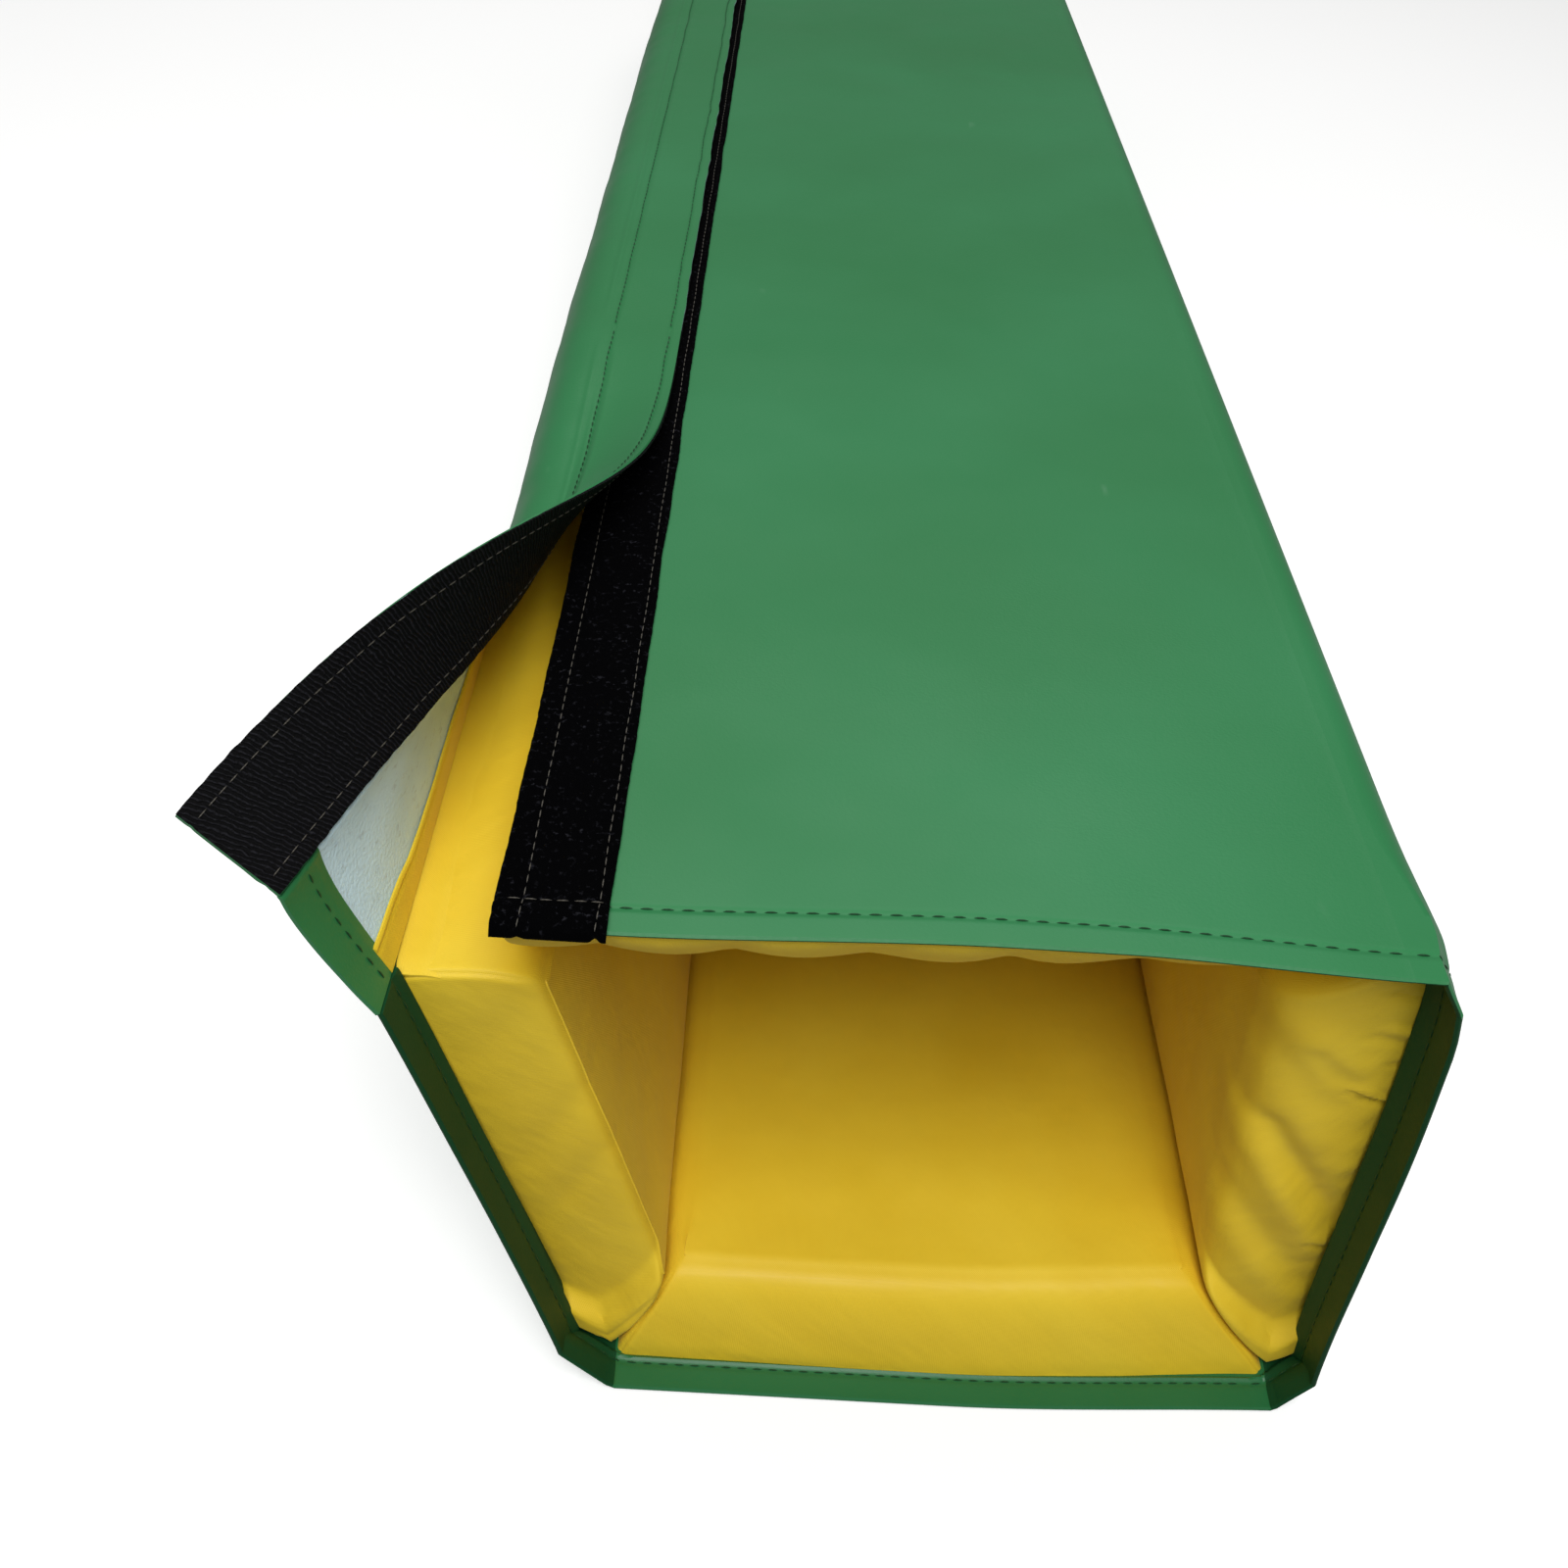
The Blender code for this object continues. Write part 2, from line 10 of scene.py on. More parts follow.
import bpy
import numpy as np
from mathutils import Matrix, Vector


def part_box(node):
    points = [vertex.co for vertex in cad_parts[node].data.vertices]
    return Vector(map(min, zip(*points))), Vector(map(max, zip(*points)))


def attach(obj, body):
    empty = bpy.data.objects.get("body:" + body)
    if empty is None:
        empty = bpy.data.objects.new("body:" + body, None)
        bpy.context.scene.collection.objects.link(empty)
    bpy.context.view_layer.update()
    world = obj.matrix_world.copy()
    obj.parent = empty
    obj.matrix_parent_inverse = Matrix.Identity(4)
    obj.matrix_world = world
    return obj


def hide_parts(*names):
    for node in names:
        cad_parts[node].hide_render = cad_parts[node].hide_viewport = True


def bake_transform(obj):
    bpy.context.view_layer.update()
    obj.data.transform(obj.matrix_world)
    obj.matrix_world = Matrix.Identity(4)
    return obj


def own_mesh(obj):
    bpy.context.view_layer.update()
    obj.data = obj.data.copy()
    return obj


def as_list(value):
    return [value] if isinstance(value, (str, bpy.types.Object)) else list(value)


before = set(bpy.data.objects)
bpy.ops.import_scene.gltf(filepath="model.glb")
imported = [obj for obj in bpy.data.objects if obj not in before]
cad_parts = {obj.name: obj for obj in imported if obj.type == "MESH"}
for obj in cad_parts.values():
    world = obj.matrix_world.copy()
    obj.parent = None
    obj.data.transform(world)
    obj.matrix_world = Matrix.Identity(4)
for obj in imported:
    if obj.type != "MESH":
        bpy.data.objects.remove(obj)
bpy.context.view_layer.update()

bl_info = {
    "name": "Post Pad",
    "version": (1, 0, 0),
    "blender": (4, 5, 0),
    "location": "3D View > Sidebar > Post Pad",
    "description": "Dresses a wrap-around post pad with its cover, linings, flap and tapes",
    "category": "Add Mesh",
}


def linear(hex_code):
    """Linear red, green and blue of an sRGB hex colour."""
    c = np.array([int(hex_code[i : i + 2], 16) / 255 for i in (1, 3, 5)])
    return tuple(np.where(c <= 0.04045, c / 12.92, ((c + 0.055) / 1.055) ** 2.4).tolist())


def length_property(name, default, description):
    """A length in metres."""
    return bpy.props.FloatProperty(
        name=name, description=description, default=default, unit="LENGTH", precision=4
    )


def angle_property(name, degrees, description):
    """An angle, given in degrees and kept in radians."""
    return bpy.props.FloatProperty(
        name=name, description=description, default=math.radians(degrees), subtype="ANGLE"
    )


def colour_property(name, hex_code, description):
    """A colour, given as an sRGB hex code and kept linear."""
    return bpy.props.FloatVectorProperty(
        name=name,
        description=description,
        default=linear(hex_code),
        subtype="COLOR",
        size=3,
        min=0.0,
        max=1.0,
    )


PAD_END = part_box("corner_back_left")[1].y


class PadSizes(bpy.types.PropertyGroup):
    """Sizes of the closed pad, its boards, hems and seams."""

    end: length_property("Half length", PAD_END, "From the middle of the pad to either end")
    width: length_property("Back width", 0.310, "Outer width of the back panel")
    height: length_property("Height", 0.272, "Outer height of the closed pad")
    board: length_property("Board", 0.050, "Thickness of the back, left and right boards")
    front_board: length_property("Front board", 0.045, "Thickness of the front board")
    left_lean: angle_property("Left lean", 14.8, "Outward lean of the left panel")
    right_lean: angle_property("Right lean", 5.4, "Inward lean of the right panel")
    front_lap: length_property("Front lap", 0.012, "Overhang of the front board past the left one")
    cover: length_property("Cover", 0.0010, "Thickness of the coated cover")
    hem_thick: length_property("Hem thickness", 0.0022, "Thickness of the folded hem")
    lining: length_property("Lining", 0.0006, "Thickness of the nylon lining")
    corner_round: length_property("Corner round", 0.012, "Face length that each rounded fold takes")


class FlapSizes(bpy.types.PropertyGroup):
    """Sizes of the flap, its tapes and its peel."""

    cloth: length_property("Flap cloth", 0.0008, "Thickness of the flap's coated cloth")
    hook: length_property("Hook tape", 0.0013, "Thickness of the hook tape")
    loop: length_property("Loop tape", 0.0015, "Thickness of the loop tape")
    loop_width: length_property("Loop width", 0.036, "Width of the loop tape")
    hook_width: length_property("Hook width", 0.038, "Width of the flap's sewn edge")
    tape_short: length_property("Tape short", 0.0145, "Where the hook tape stops before the far end")
    overhang: length_property("Hook overhang", 0.009, "Hook tape past the front board's edge")
    seat: length_property("Tape seat", 0.0035, "Gap between the pressed tapes with their seats")
    heel: angle_property("Root heel", 84.0, "Direction in which the closed flap leaves its root")
    handle: length_property("Bulge handle", 0.026, "Pull of the closed flap's bulge")
    peel: length_property("Peel length", 0.410, "Length of the flap that is peeled open")
    past: length_property("Peel past end", 0.072, "How far past the near end the peel would be whole")
    turn: angle_property("Peel turn", 156.0, "How far a wholly peeled tape strip is turned")
    inset: length_property("Peel line inset", 0.0292, "Peel line's start, out from the tape")
    drop: length_property("Peel line drop", 0.0073, "Peel line's start, down from the tape")
    turn_out: angle_property("Peel line turn", 8.25, "Turn of the peel line across the pad")
    climb: angle_property("Peel line climb", 1.47, "Climb of the peel line along the pad")
    slip_out: length_property("Slip out", 0.005, "How far the near end slips off the tape")
    slip_near: length_property("Slip past end", 0.008, "How far the near end slips past the pad")
    root_reach: length_property("Root reach", 0.225, "Length over which the root strip opens")
    root_past: length_property("Root past end", 0.100, "Where the root strip would be wholly open")


class PadColours(bpy.types.PropertyGroup):
    """Colours of the pad's materials."""

    vinyl: colour_property("Vinyl", "#2A7A45", "Green of the coated cover")
    vinyl_light: colour_property("Vinyl, light", "#30814E", "Lighter patches of the cover")
    scuff: colour_property("Scuffs", "#7FA98C", "Short scuffs on the cover")
    lining: colour_property("Lining", "#F2D136", "Yellow of the nylon lining")
    lining_deep: colour_property("Lining, deep", "#E9C42A", "Deeper patches of the lining")
    loop: colour_property("Loop tape", "#020203", "Black of the loop pile")
    hook: colour_property("Hook tape", "#020203", "Black of the hook tape")
    # Painted highlight: this grey on the loops' and hooks' tips stands in for the light they catch.
    tape_tips: colour_property("Tape tips", "#303036", "Lit tips of the tapes' loops and hooks")
    backing: colour_property("Backing", "#D8F5FF", "Pale scrim on the flap's inner side")
    backing_shade: colour_property("Backing, shade", "#C6E4F2", "Thicker patches of the scrim")
    backing_fleck: colour_property("Backing, flecks", "#97A3A7", "Flecks where the coat shows through")
    foam: colour_property("Foam", "#D9D6C8", "Foam boards")
    green_thread: colour_property("Green thread", "#1B4A2A", "Thread of the hems and the flap")
    grey_thread: colour_property("Grey thread", "#5A564E", "Thread of the tapes")
    floor: colour_property("Floor", "#F4F4F3", "Studio floor, as the camera sees it")
    floor_light: colour_property("Floor's light", "#888886", "Studio floor, as it lights the pad")


# ---------------------------------------------------------------- shapes


def smooth(t):
    """0 below 0, 1 above 1, and 3t^2 - 2t^3 between."""
    t = np.clip(t, 0.0, 1.0)
    return t * t * (3 - 2 * t)


def through(knots, values, t):
    """Smooth curve through values at knots: cubic spans that share the mean slope where they meet."""
    knots, values = np.asarray(knots, float), np.asarray(values, float)
    slopes = np.gradient(values, knots)
    i = np.clip(np.searchsorted(knots, t, side="right") - 1, 0, len(knots) - 2)
    wide = knots[i + 1] - knots[i]
    u = (t - knots[i]) / wide
    first = values[i] * (1 + 2 * u) * (1 - u) ** 2 + slopes[i] * wide * u * (1 - u) ** 2
    return first + values[i + 1] * u * u * (3 - 2 * u) - slopes[i + 1] * wide * u * u * (1 - u)


def ripple(u, v, pitch, seed):
    """Mean of seven plane waves of about this pitch, in directions and phases drawn from the seed."""
    rng = np.random.default_rng(seed)
    turn, phase = rng.uniform(0, math.pi, 7), rng.uniform(0, 2 * math.pi, 7)
    rate = 2 * math.pi / pitch * rng.uniform(0.65, 1.5, 7)
    across = np.asarray(u)[..., None] * np.cos(turn) + np.asarray(v)[..., None] * np.sin(turn)
    return np.sin(rate * across + phase).mean(axis=-1)


def unit(vectors):
    """Vectors over their lengths."""
    return vectors / np.maximum(np.linalg.norm(vectors, axis=-1, keepdims=True), 1e-12)


def grid_normals(points):
    """Unit normals of a grid of points: the cross product of its column and row directions."""
    return unit(np.cross(np.gradient(points, axis=1), np.gradient(points, axis=0)))


def distances(path):
    """Distance along a path to each of its points."""
    return np.concatenate([[0], np.cumsum(np.linalg.norm(np.diff(path, axis=0), axis=1))])


def ends_dense(low, high, fine, fine_step, step):
    """Places from low to high, close together within fine of either end and wider between."""
    near = np.arange(0.0, fine, fine_step)
    middle = np.linspace(low + fine, high - fine, max(int((high - low - 2 * fine) / step), 2))
    return np.concatenate([low + near, middle, high - near[::-1]])


def put_mesh(name, points, faces, uv, materials, face_materials=None):
    """Makes the mesh object, with the uv of each point in metres and creases above 40 degrees."""
    mesh = bpy.data.meshes.new(name)
    mesh.from_pydata(points.tolist(), [], faces.tolist())
    layer = mesh.uv_layers.new(name="cloth")
    corners = np.zeros(len(mesh.loops), np.int32)
    mesh.loops.foreach_get("vertex_index", corners)
    layer.data.foreach_set("uv", uv[corners].astype(np.float32).ravel())
    mesh.polygons.foreach_set("use_smooth", np.ones(len(mesh.polygons), bool))
    for material in materials:
        mesh.materials.append(material)
    if face_materials is not None:
        mesh.polygons.foreach_set("material_index", face_materials.astype(np.int32))
    mesh.set_sharp_from_angle(angle=math.radians(40))
    mesh.update()
    obj = bpy.data.objects.new(name, mesh)
    bpy.context.scene.collection.objects.link(obj)
    return obj


def grid_faces(rows, columns, offset=0):
    """Quads of a grid, wound so that their normals follow column direction cross row direction."""
    index = np.arange(rows * columns).reshape(rows, columns) + offset
    quads = [index[:-1, :-1], index[:-1, 1:], index[1:, 1:], index[1:, :-1]]
    return np.stack(quads, axis=-1).reshape(-1, 4), index


# How far the near end bows out at the right panel, and runs in at the back and at the front panel, over
# which length it does so, and the outward direction of the bow in X and Z
BOW_OUT, BACK_IN, BACK_OUT, FRONT_IN = 0.0047, 0.0065, 0.0019, 0.0054
END_LIE, END_LIE_RUN = 0.095, 0.08
BOW_X, BOW_Z = 0.9956, 0.094


def end_lie(points):
    """How the near end lies: the right panel's edge bows out by up to 5 mm below the top, the back panel's
    edge runs in by 5 mm at its right and out by 2 mm at its left, and the front panel's edge runs in by
    5 mm in its middle. All are smooth steps across the section that die out 95 mm in."""
    x, y, z = points[..., 0], points[..., 1], points[..., 2]
    near = smooth((-y - PAD_END + END_LIE) / END_LIE_RUN)
    bow = BOW_OUT * smooth((z - 0.06) / 0.15) * smooth((0.280 - z) / 0.045) * smooth((x - 0.05) / 0.05)
    run_in = BACK_IN * smooth(x / 0.17) - BACK_OUT
    front_in = FRONT_IN * smooth((x + 0.15) / 0.14) * smooth((0.13 - x) / 0.11)
    run_in = run_in * smooth((0.12 - z) / 0.12) + front_in * smooth((z - 0.21) / 0.05)
    move = np.stack([BOW_X * bow, run_in, BOW_Z * bow], axis=-1)
    return points + near[..., None] * move


def faces_against(points, outward):
    """Whether the middle of a grid faces away from this direction."""
    return grid_normals(points)[points.shape[0] // 2, points.shape[1] // 2] @ outward < 0


def shell(name, outer, inner, uv, materials, outer_slot=0, inner_slot=0, outward=None):
    """Closed sheet between two grids of the same shape: the outer one faces out, the inner one faces the
    other way, and a rim of quads joins their borders. The slots give each grid's quads their materials.
    Where outward is given, the grids are turned over if the outer one faces against it."""
    rows, columns = outer.shape[:2]
    sides = [np.broadcast_to(slot, (rows - 1, columns - 1)) for slot in (outer_slot, inner_slot)]
    if outward is not None and faces_against(outer, outward):
        outer, inner, uv, *sides = (grid[:, ::-1] for grid in (outer, inner, uv, *sides))
    front, index = grid_faces(rows, columns)
    back = front[:, ::-1] + rows * columns
    border = np.concatenate([index[0, :-1], index[:-1, -1], index[-1, :0:-1], index[:0:-1, 0]])
    following = np.roll(border, -1)
    under = rows * columns
    rim = np.stack([following, border, border + under, following + under], axis=-1)
    slots = np.concatenate([side.ravel() for side in sides] + [np.full(len(rim), sides[1][0, 0])])
    points = end_lie(np.concatenate([outer.reshape(-1, 3), inner.reshape(-1, 3)]))
    uvs = np.concatenate([uv.reshape(-1, 2)] * 2)
    return put_mesh(name, points, np.concatenate([front, back, rim]), uvs, materials, slots)


# Gap between cloths that lie on each other
SEAT = 0.0003


class Panel:
    """A panel's own axes in the section: s along its outer face from a fold, d inwards from that face. Its
    face runs in the direction 'along', in degrees, and inwards is a quarter turn to its left (side 1) or to
    its right (side -1)."""

    def __init__(self, corner, along, side, thickness, face):
        turn = math.radians(along)
        inward = math.radians(along + 90 * side)
        self.corner = np.array(corner, float)
        self.run = np.array([math.cos(turn), math.sin(turn)])
        self.inward = np.array([math.cos(inward), math.sin(inward)])
        self.outward = -np.array([self.inward[0], 0.0, self.inward[1]])
        self.thickness, self.face = thickness, face

    def place(self, s, y, d):
        """Corner + s times the face's direction + d times the inward direction, at y along the pad."""
        s, y, d = np.broadcast_arrays(s, y, d)
        x = self.corner[0] + s * self.run[0] + d * self.inward[0]
        z = self.corner[1] + s * self.run[1] + d * self.inward[1]
        return np.stack([x, y, z], axis=-1)


class Section:
    """The closed pad's section: panels from fold to fold, the flap's root on top of the left panel, and the
    inner edge of the tape's place on top of the front panel."""

    def __init__(self, sizes, flap):
        left, right = math.degrees(sizes.left_lean), math.degrees(sizes.right_lean)
        right_face = sizes.height / math.cos(sizes.right_lean)
        self.left_top = sizes.height - sizes.front_board - 2 * SEAT
        left_face = self.left_top / math.cos(sizes.left_lean)
        half = sizes.width / 2
        self.right_front = np.array([half - right_face * math.sin(sizes.right_lean), sizes.height])
        self.root = np.array([-half - left_face * math.sin(sizes.left_lean), self.left_top])
        edge = self.root[0] + sizes.board / math.cos(sizes.left_lean) - sizes.front_lap
        front_face = self.right_front[0] - edge
        self.back = Panel((-half, 0), 0, 1, sizes.board, sizes.width)
        self.left = Panel((-half, 0), 90 + left, -1, sizes.board, left_face)
        self.right = Panel((half, 0), 90 + right, 1, sizes.board, right_face)
        self.front = Panel(self.right_front, 180, 1, sizes.front_board, front_face)
        self.left_lean, self.angles = sizes.left_lean, (90 + left, 90 - right, 90 + right)
        self.top = sizes.height + flap.loop + flap.seat + flap.hook + flap.cloth
        self.tape_inner = np.array([edge - flap.overhang, self.top])
        self.near = -sizes.end


# ---------------------------------------------------------------- covers

PANELS = ("back", "left", "right", "front")
# For each panel's end hems: width of the turned edge, distance of its stitches from the end, and how far
# the turned edge stands up towards the lining
HEMS = {
    "back": np.array((0.0145, 0.0115, 0.0006)),
    "left": np.array((0.0215, 0.0155, 0.0010)),
    "right": np.array((0.0245, 0.0155, 0.0020)),
    "front": np.array((0.0145, 0.0116, 0.0004)),
}
# For each fold, at the near end and at the far end: how far the crease reaches on the first and on the
# second panel, at the lining's seam and at the hem's edge
FOLD_CUTS = {
    ("back", "left"): (((0.0145, 0.0050), (0.0145, 0.0245)), ((0.0100, 0.0050), (0.0140, 0.0120))),
    ("back", "right"): (((0.0140, 0.0050), (0.0140, 0.0220)), ((0.0100, 0.0050), (0.0140, 0.0160))),
    ("right", "front"): (((0.0060, 0.0040), (0.0150, 0.0060)), ((0.0060, 0.0050), (0.0100, 0.0080))),
}
# Length of cloth over which a turned edge ends, as a small step, and the depth and half width of the groove
# under a hem's stitches
TURN_STEP = 0.0012
HEM_GROOVE, GROOVE_WIDTH = 0.0006, 0.0013
# Length from the end over which a fold passes from round to creased, and where it is wholly creased; and
# the same for the crease's pass from its cuts at the lining's seam to those at the hem's edge
CREASE_FROM, CREASE_RUN = 0.072, 0.044
HEM_FROM, HEM_RUN = 0.026, 0.020
# Point of a fold's line at which the crease leaves the first panel, and how far the crease's pinch stands
# in at the lining's seam and at the hem's edge
CREASE_FOOT = 6
PINCHES = (0.0006, 0.0010)
# Width of the last lip at the near end, where the cloth rounds into the turned-in side; its outer quads take
# a darker copy of the vinyl as painted shade
LIP = 0.0013


def bell(distance, width):
    """1 at no distance, and dying out past this width as a bell curve."""
    return np.exp(-((distance / width) ** 2))


def turned_in(width, from_end):
    """1 in the turned edge of this width, 0 past it, and a small step between."""
    return smooth((width - from_end) / TURN_STEP + 0.5)


def cover_rows(sizes):
    """Places along the pad of a cover's rows: dense in the hems."""
    return ends_dense(-sizes.end, sizes.end, 0.030, 0.0008, 0.011)


def cover_sides(sizes, y, dent, hem):
    """Depths of a cover's outer and inner side. The outer one lies at dent, with a groove under the hem's
    stitches. The inner one is a cloth's thickness deeper, more where the edge is turned in, and past the
    stitches the turned edge rises. At the end both sides meet in a half round."""
    width, stitch, rise = hem
    from_end = sizes.end - np.abs(y)
    turned = turned_in(width, from_end)
    groove = HEM_GROOVE * bell(from_end - stitch, GROOVE_WIDTH)
    lift = rise * smooth((from_end - stitch) / (width - stitch)) * turned
    thick = sizes.cover + (sizes.hem_thick - sizes.cover) * turned + lift - 0.8 * groove
    radius = sizes.hem_thick / 2
    past = np.clip((radius - from_end) / radius, 0.0, 0.985)
    bend = radius * (1 - np.sqrt(1 - past * past))
    return dent + groove + bend, dent + np.maximum(thick - bend, radius + 0.00008)


def cover_dent(s, y, span, sag, seed):
    """How far a cover dents inwards: nothing at the folds, and low waves of the sag between them."""
    share = (s - span[0]) / (span[1] - span[0])
    hold = np.sqrt(np.clip(4 * share * (1 - share), 0, 1))
    return sag * hold * (0.6 + 0.4 * ripple(s, y, 0.23, seed) + 0.16 * ripple(s, y, 0.08, seed + 1))


def lip_slots(sizes, y, lip):
    """Material slots of a cover's outer quads: the second one, a darker copy of the vinyl that paints shade,
    on the last lip at the near end.
    """
    return (sizes.end + (y[:-1, :-1] + y[1:, 1:]) / 2 < lip).astype(int)


def make_cover(sizes, panel, name, span, sag, seed, hem, materials):
    """One panel's cover between its folds: the panel's plane with low waves, turned in at each end."""
    s = ends_dense(span[0], span[1], 0.004, 0.002, 0.008)
    grid_s, grid_y = np.meshgrid(s, cover_rows(sizes))
    outer_d, inner_d = cover_sides(sizes, grid_y, cover_dent(grid_s, grid_y, span, sag, seed), hem)
    outer, inner = panel.place(grid_s, grid_y, outer_d), panel.place(grid_s, grid_y, inner_d)
    uv = np.stack([grid_s, grid_y], axis=-1)
    # The last lip, except on the front, and the inner side take the darker copy of the vinyl as painted
    # shade.
    lip = lip_slots(sizes, grid_y, 0.0 if name.startswith("front") else LIP)
    return shell(name, outer, inner, uv, materials, lip, 1, panel.outward)


def corner_line(first, second, reach, take, cut, pinch=0.0):
    """Section lines round a fold. The rounded one runs along the first face, an arc that takes 'take' of
    each face, and the second face. The pressed one is a flat from cut[0] on the first face to cut[1] on the
    second, with a pinch that stands inwards where it leaves the first."""
    corner = second.corner
    back_run = first.run
    if np.allclose(first.corner + first.run * first.face, corner, atol=1e-6):
        back_run = -first.run
    half = math.acos(np.clip(back_run @ second.run, -1, 1)) / 2
    middle = unit(back_run + second.run)
    centre = corner + middle * take / math.cos(half)
    start, finish = corner + back_run * take - centre, corner + second.run * take - centre
    total = math.acos(np.clip(unit(start) @ unit(finish), -1, 1))
    t = np.linspace(0, 1, 11)[:, None]
    arc = centre + (np.sin((1 - t) * total) * start + np.sin(t * total) * finish) / math.sin(total)
    first_cut, second_cut = corner + back_run * cut[0], corner + second.run * cut[1]
    ease = np.linspace(0, 1, CREASE_FOOT + 1)[:-1, None]

    def line(feet, between):
        """In along the first face to its foot, through the places between, and out along the second."""
        legs = [
            corner + run * (reach + (foot - reach) * ease)
            for run, foot in zip((back_run, second.run), feet)
        ]
        return np.concatenate([legs[0], between, legs[1][::-1]])

    rounded, pressed = line((take, take), arc), line(cut, first_cut + (second_cut - first_cut) * t)
    pressed[CREASE_FOOT] += middle * min(pinch, (reach - cut[0]) / CREASE_FOOT)
    return rounded, pressed


def corner_places(sizes, first, second, cuts, y):
    """The fold's section line at each y: rounded in the middle, creased over the last 72 mm by the cuts at
    the lining's seam, and pressed flat in the hem by the cuts at the edge. Also gives its inward direction,
    the middle one, and the distance across."""
    rounded = rounded_line(sizes, first, second, cuts)
    line = np.broadcast_to(rounded, (len(y), *rounded.shape)).copy()
    for end_cuts, creased, hemmed in zip(cuts, pressed_share(sizes, y), hem_share(sizes, y)):
        seam, edge = (
            corner_line(first, second, fold_reach(sizes, cuts), sizes.corner_round, cut, pinch)[1]
            for cut, pinch in zip(end_cuts, PINCHES)
        )
        line += creased[:, None, None] * (seam + hemmed[:, None, None] * (edge - seam) - rounded)
    run = unit(np.gradient(line, axis=1))
    inward = np.stack([-run[..., 1], run[..., 0]], axis=-1)
    middle = (first.inward + second.inward) / 2
    if inward[0, line.shape[1] // 2] @ middle < 0:
        inward = -inward
    return line, inward, middle, distances(rounded)


def fold_reach(sizes, cuts):
    """How far a fold's strip reaches on each face: just past its round and its widest crease."""
    return max(sizes.corner_round, np.max(cuts)) + 0.0015


def rounded_line(sizes, first, second, cuts):
    """The fold's section line where it isn't creased."""
    return corner_line(first, second, fold_reach(sizes, cuts), sizes.corner_round, cuts[0][0])[0]


def pressed_share(sizes, y):
    """How far the folds are creased at each y, for the near end and for the far end."""
    return [smooth((way * y - sizes.end + CREASE_FROM) / CREASE_RUN) for way in (-1, 1)]


def hem_share(sizes, y):
    """How far the crease has passed from its cuts at the lining's seam to those at the hem's edge."""
    return [smooth((way * y - sizes.end + HEM_FROM) / HEM_RUN) for way in (-1, 1)]


def in_space(section_points, y):
    """Section places carried to y along the pad."""
    x, z = section_points[..., 0], section_points[..., 1]
    return np.stack([x, np.broadcast_to(y, x.shape), z], axis=-1)


def make_corner(sizes, first, second, name, cuts, hems, materials):
    """Folded corner of the cover: the fold's section line carried along the pad, with the hems of the two
    panels passing into each other across it."""
    y = cover_rows(sizes)
    line, inward, middle, across = corner_places(sizes, first, second, cuts, y)
    grid_y = np.broadcast_to(y[:, None], line.shape[:2])
    share = smooth(across / across[-1])
    hem = [hems[0][k] + (hems[1][k] - hems[0][k]) * share for k in range(3)]
    depths = cover_sides(sizes, grid_y, np.zeros_like(grid_y), hem)
    outer, inner = (in_space(line + inward * depth[..., None], grid_y) for depth in depths)
    uv = np.stack([np.broadcast_to(across, grid_y.shape), grid_y], axis=-1)
    on_back = name.startswith("corner_back")
    # The back corners' last lip and every corner's inner side take darker copies of the vinyl as painted
    # shade: the back hem's lighter copy on the back panel's leg, the side hems' deeper copy elsewhere.
    lip = lip_slots(sizes, grid_y, LIP if on_back else 0.0)
    inner_slot = np.where((np.arange(line.shape[1] - 1) < CREASE_FOOT) & on_back, 2, 1)
    outward = -np.array([middle[0], 0.0, middle[1]])
    return shell(name, outer, inner, uv, materials, lip, inner_slot, outward)


# ---------------------------------------------------------------- linings and foam

RING = (0.0, 0.25, 0.5, 0.75, 0.9, 1.0)
RING_HEIGHT = (0.0, 0.20, 0.60, 0.88, 0.97, 1.0)
# Insets of a lining's border at the rings: at a fold, at a fold that is pressed by the hem, at the closure
FOLD_INSET = (0.0123, 0.0012, 0.0, 0.0010, 0.0036, 0.0090)
PRESSED_INSET = (0.0010, 0.0003, 0.0002, 0.0008, 0.0024, 0.0048)
FREE_INSET = (0.0012, -0.0015, -0.0026, 0.0008, 0.0040, 0.0085)
RING_COUNT = 26

# For each board's ends: recess of the seam at the start, middle and end of the face; how far the tip at the
# first fold reaches past it, and how wide it is; lean from the seam to the inner edge at the start and end
# of the face; and the end's own round by ring
BOARD_ENDS = {
    "back": (
        (0.0150, 0.0132, 0.0160),
        (0.0, 0.03),
        (0.0110, 0.0150),
        (0.0, -0.0010, -0.0012, 0.0014, 0.0048, 0.0100),
    ),
    "left": (
        (0.0275, 0.0242, 0.0215),
        (0.0070, 0.020),
        (-0.0040, 0.0010),
        (0.0, -0.0008, -0.0010, 0.0004, 0.0026, 0.0062),
    ),
    "right": (
        (0.0290, 0.0285, 0.0250),
        (0.0080, 0.020),
        (-0.0010, 0.0010),
        (0.0, -0.0014, -0.0002, 0.0060, 0.0130, 0.0230),
    ),
    "front": (
        (0.0190, 0.0105, 0.0100),
        (-0.0090, 0.030),
        (0.0, 0.0),
        (0.0, -0.0042, 0.0080, 0.0200, 0.0258, 0.0325),
    ),
}

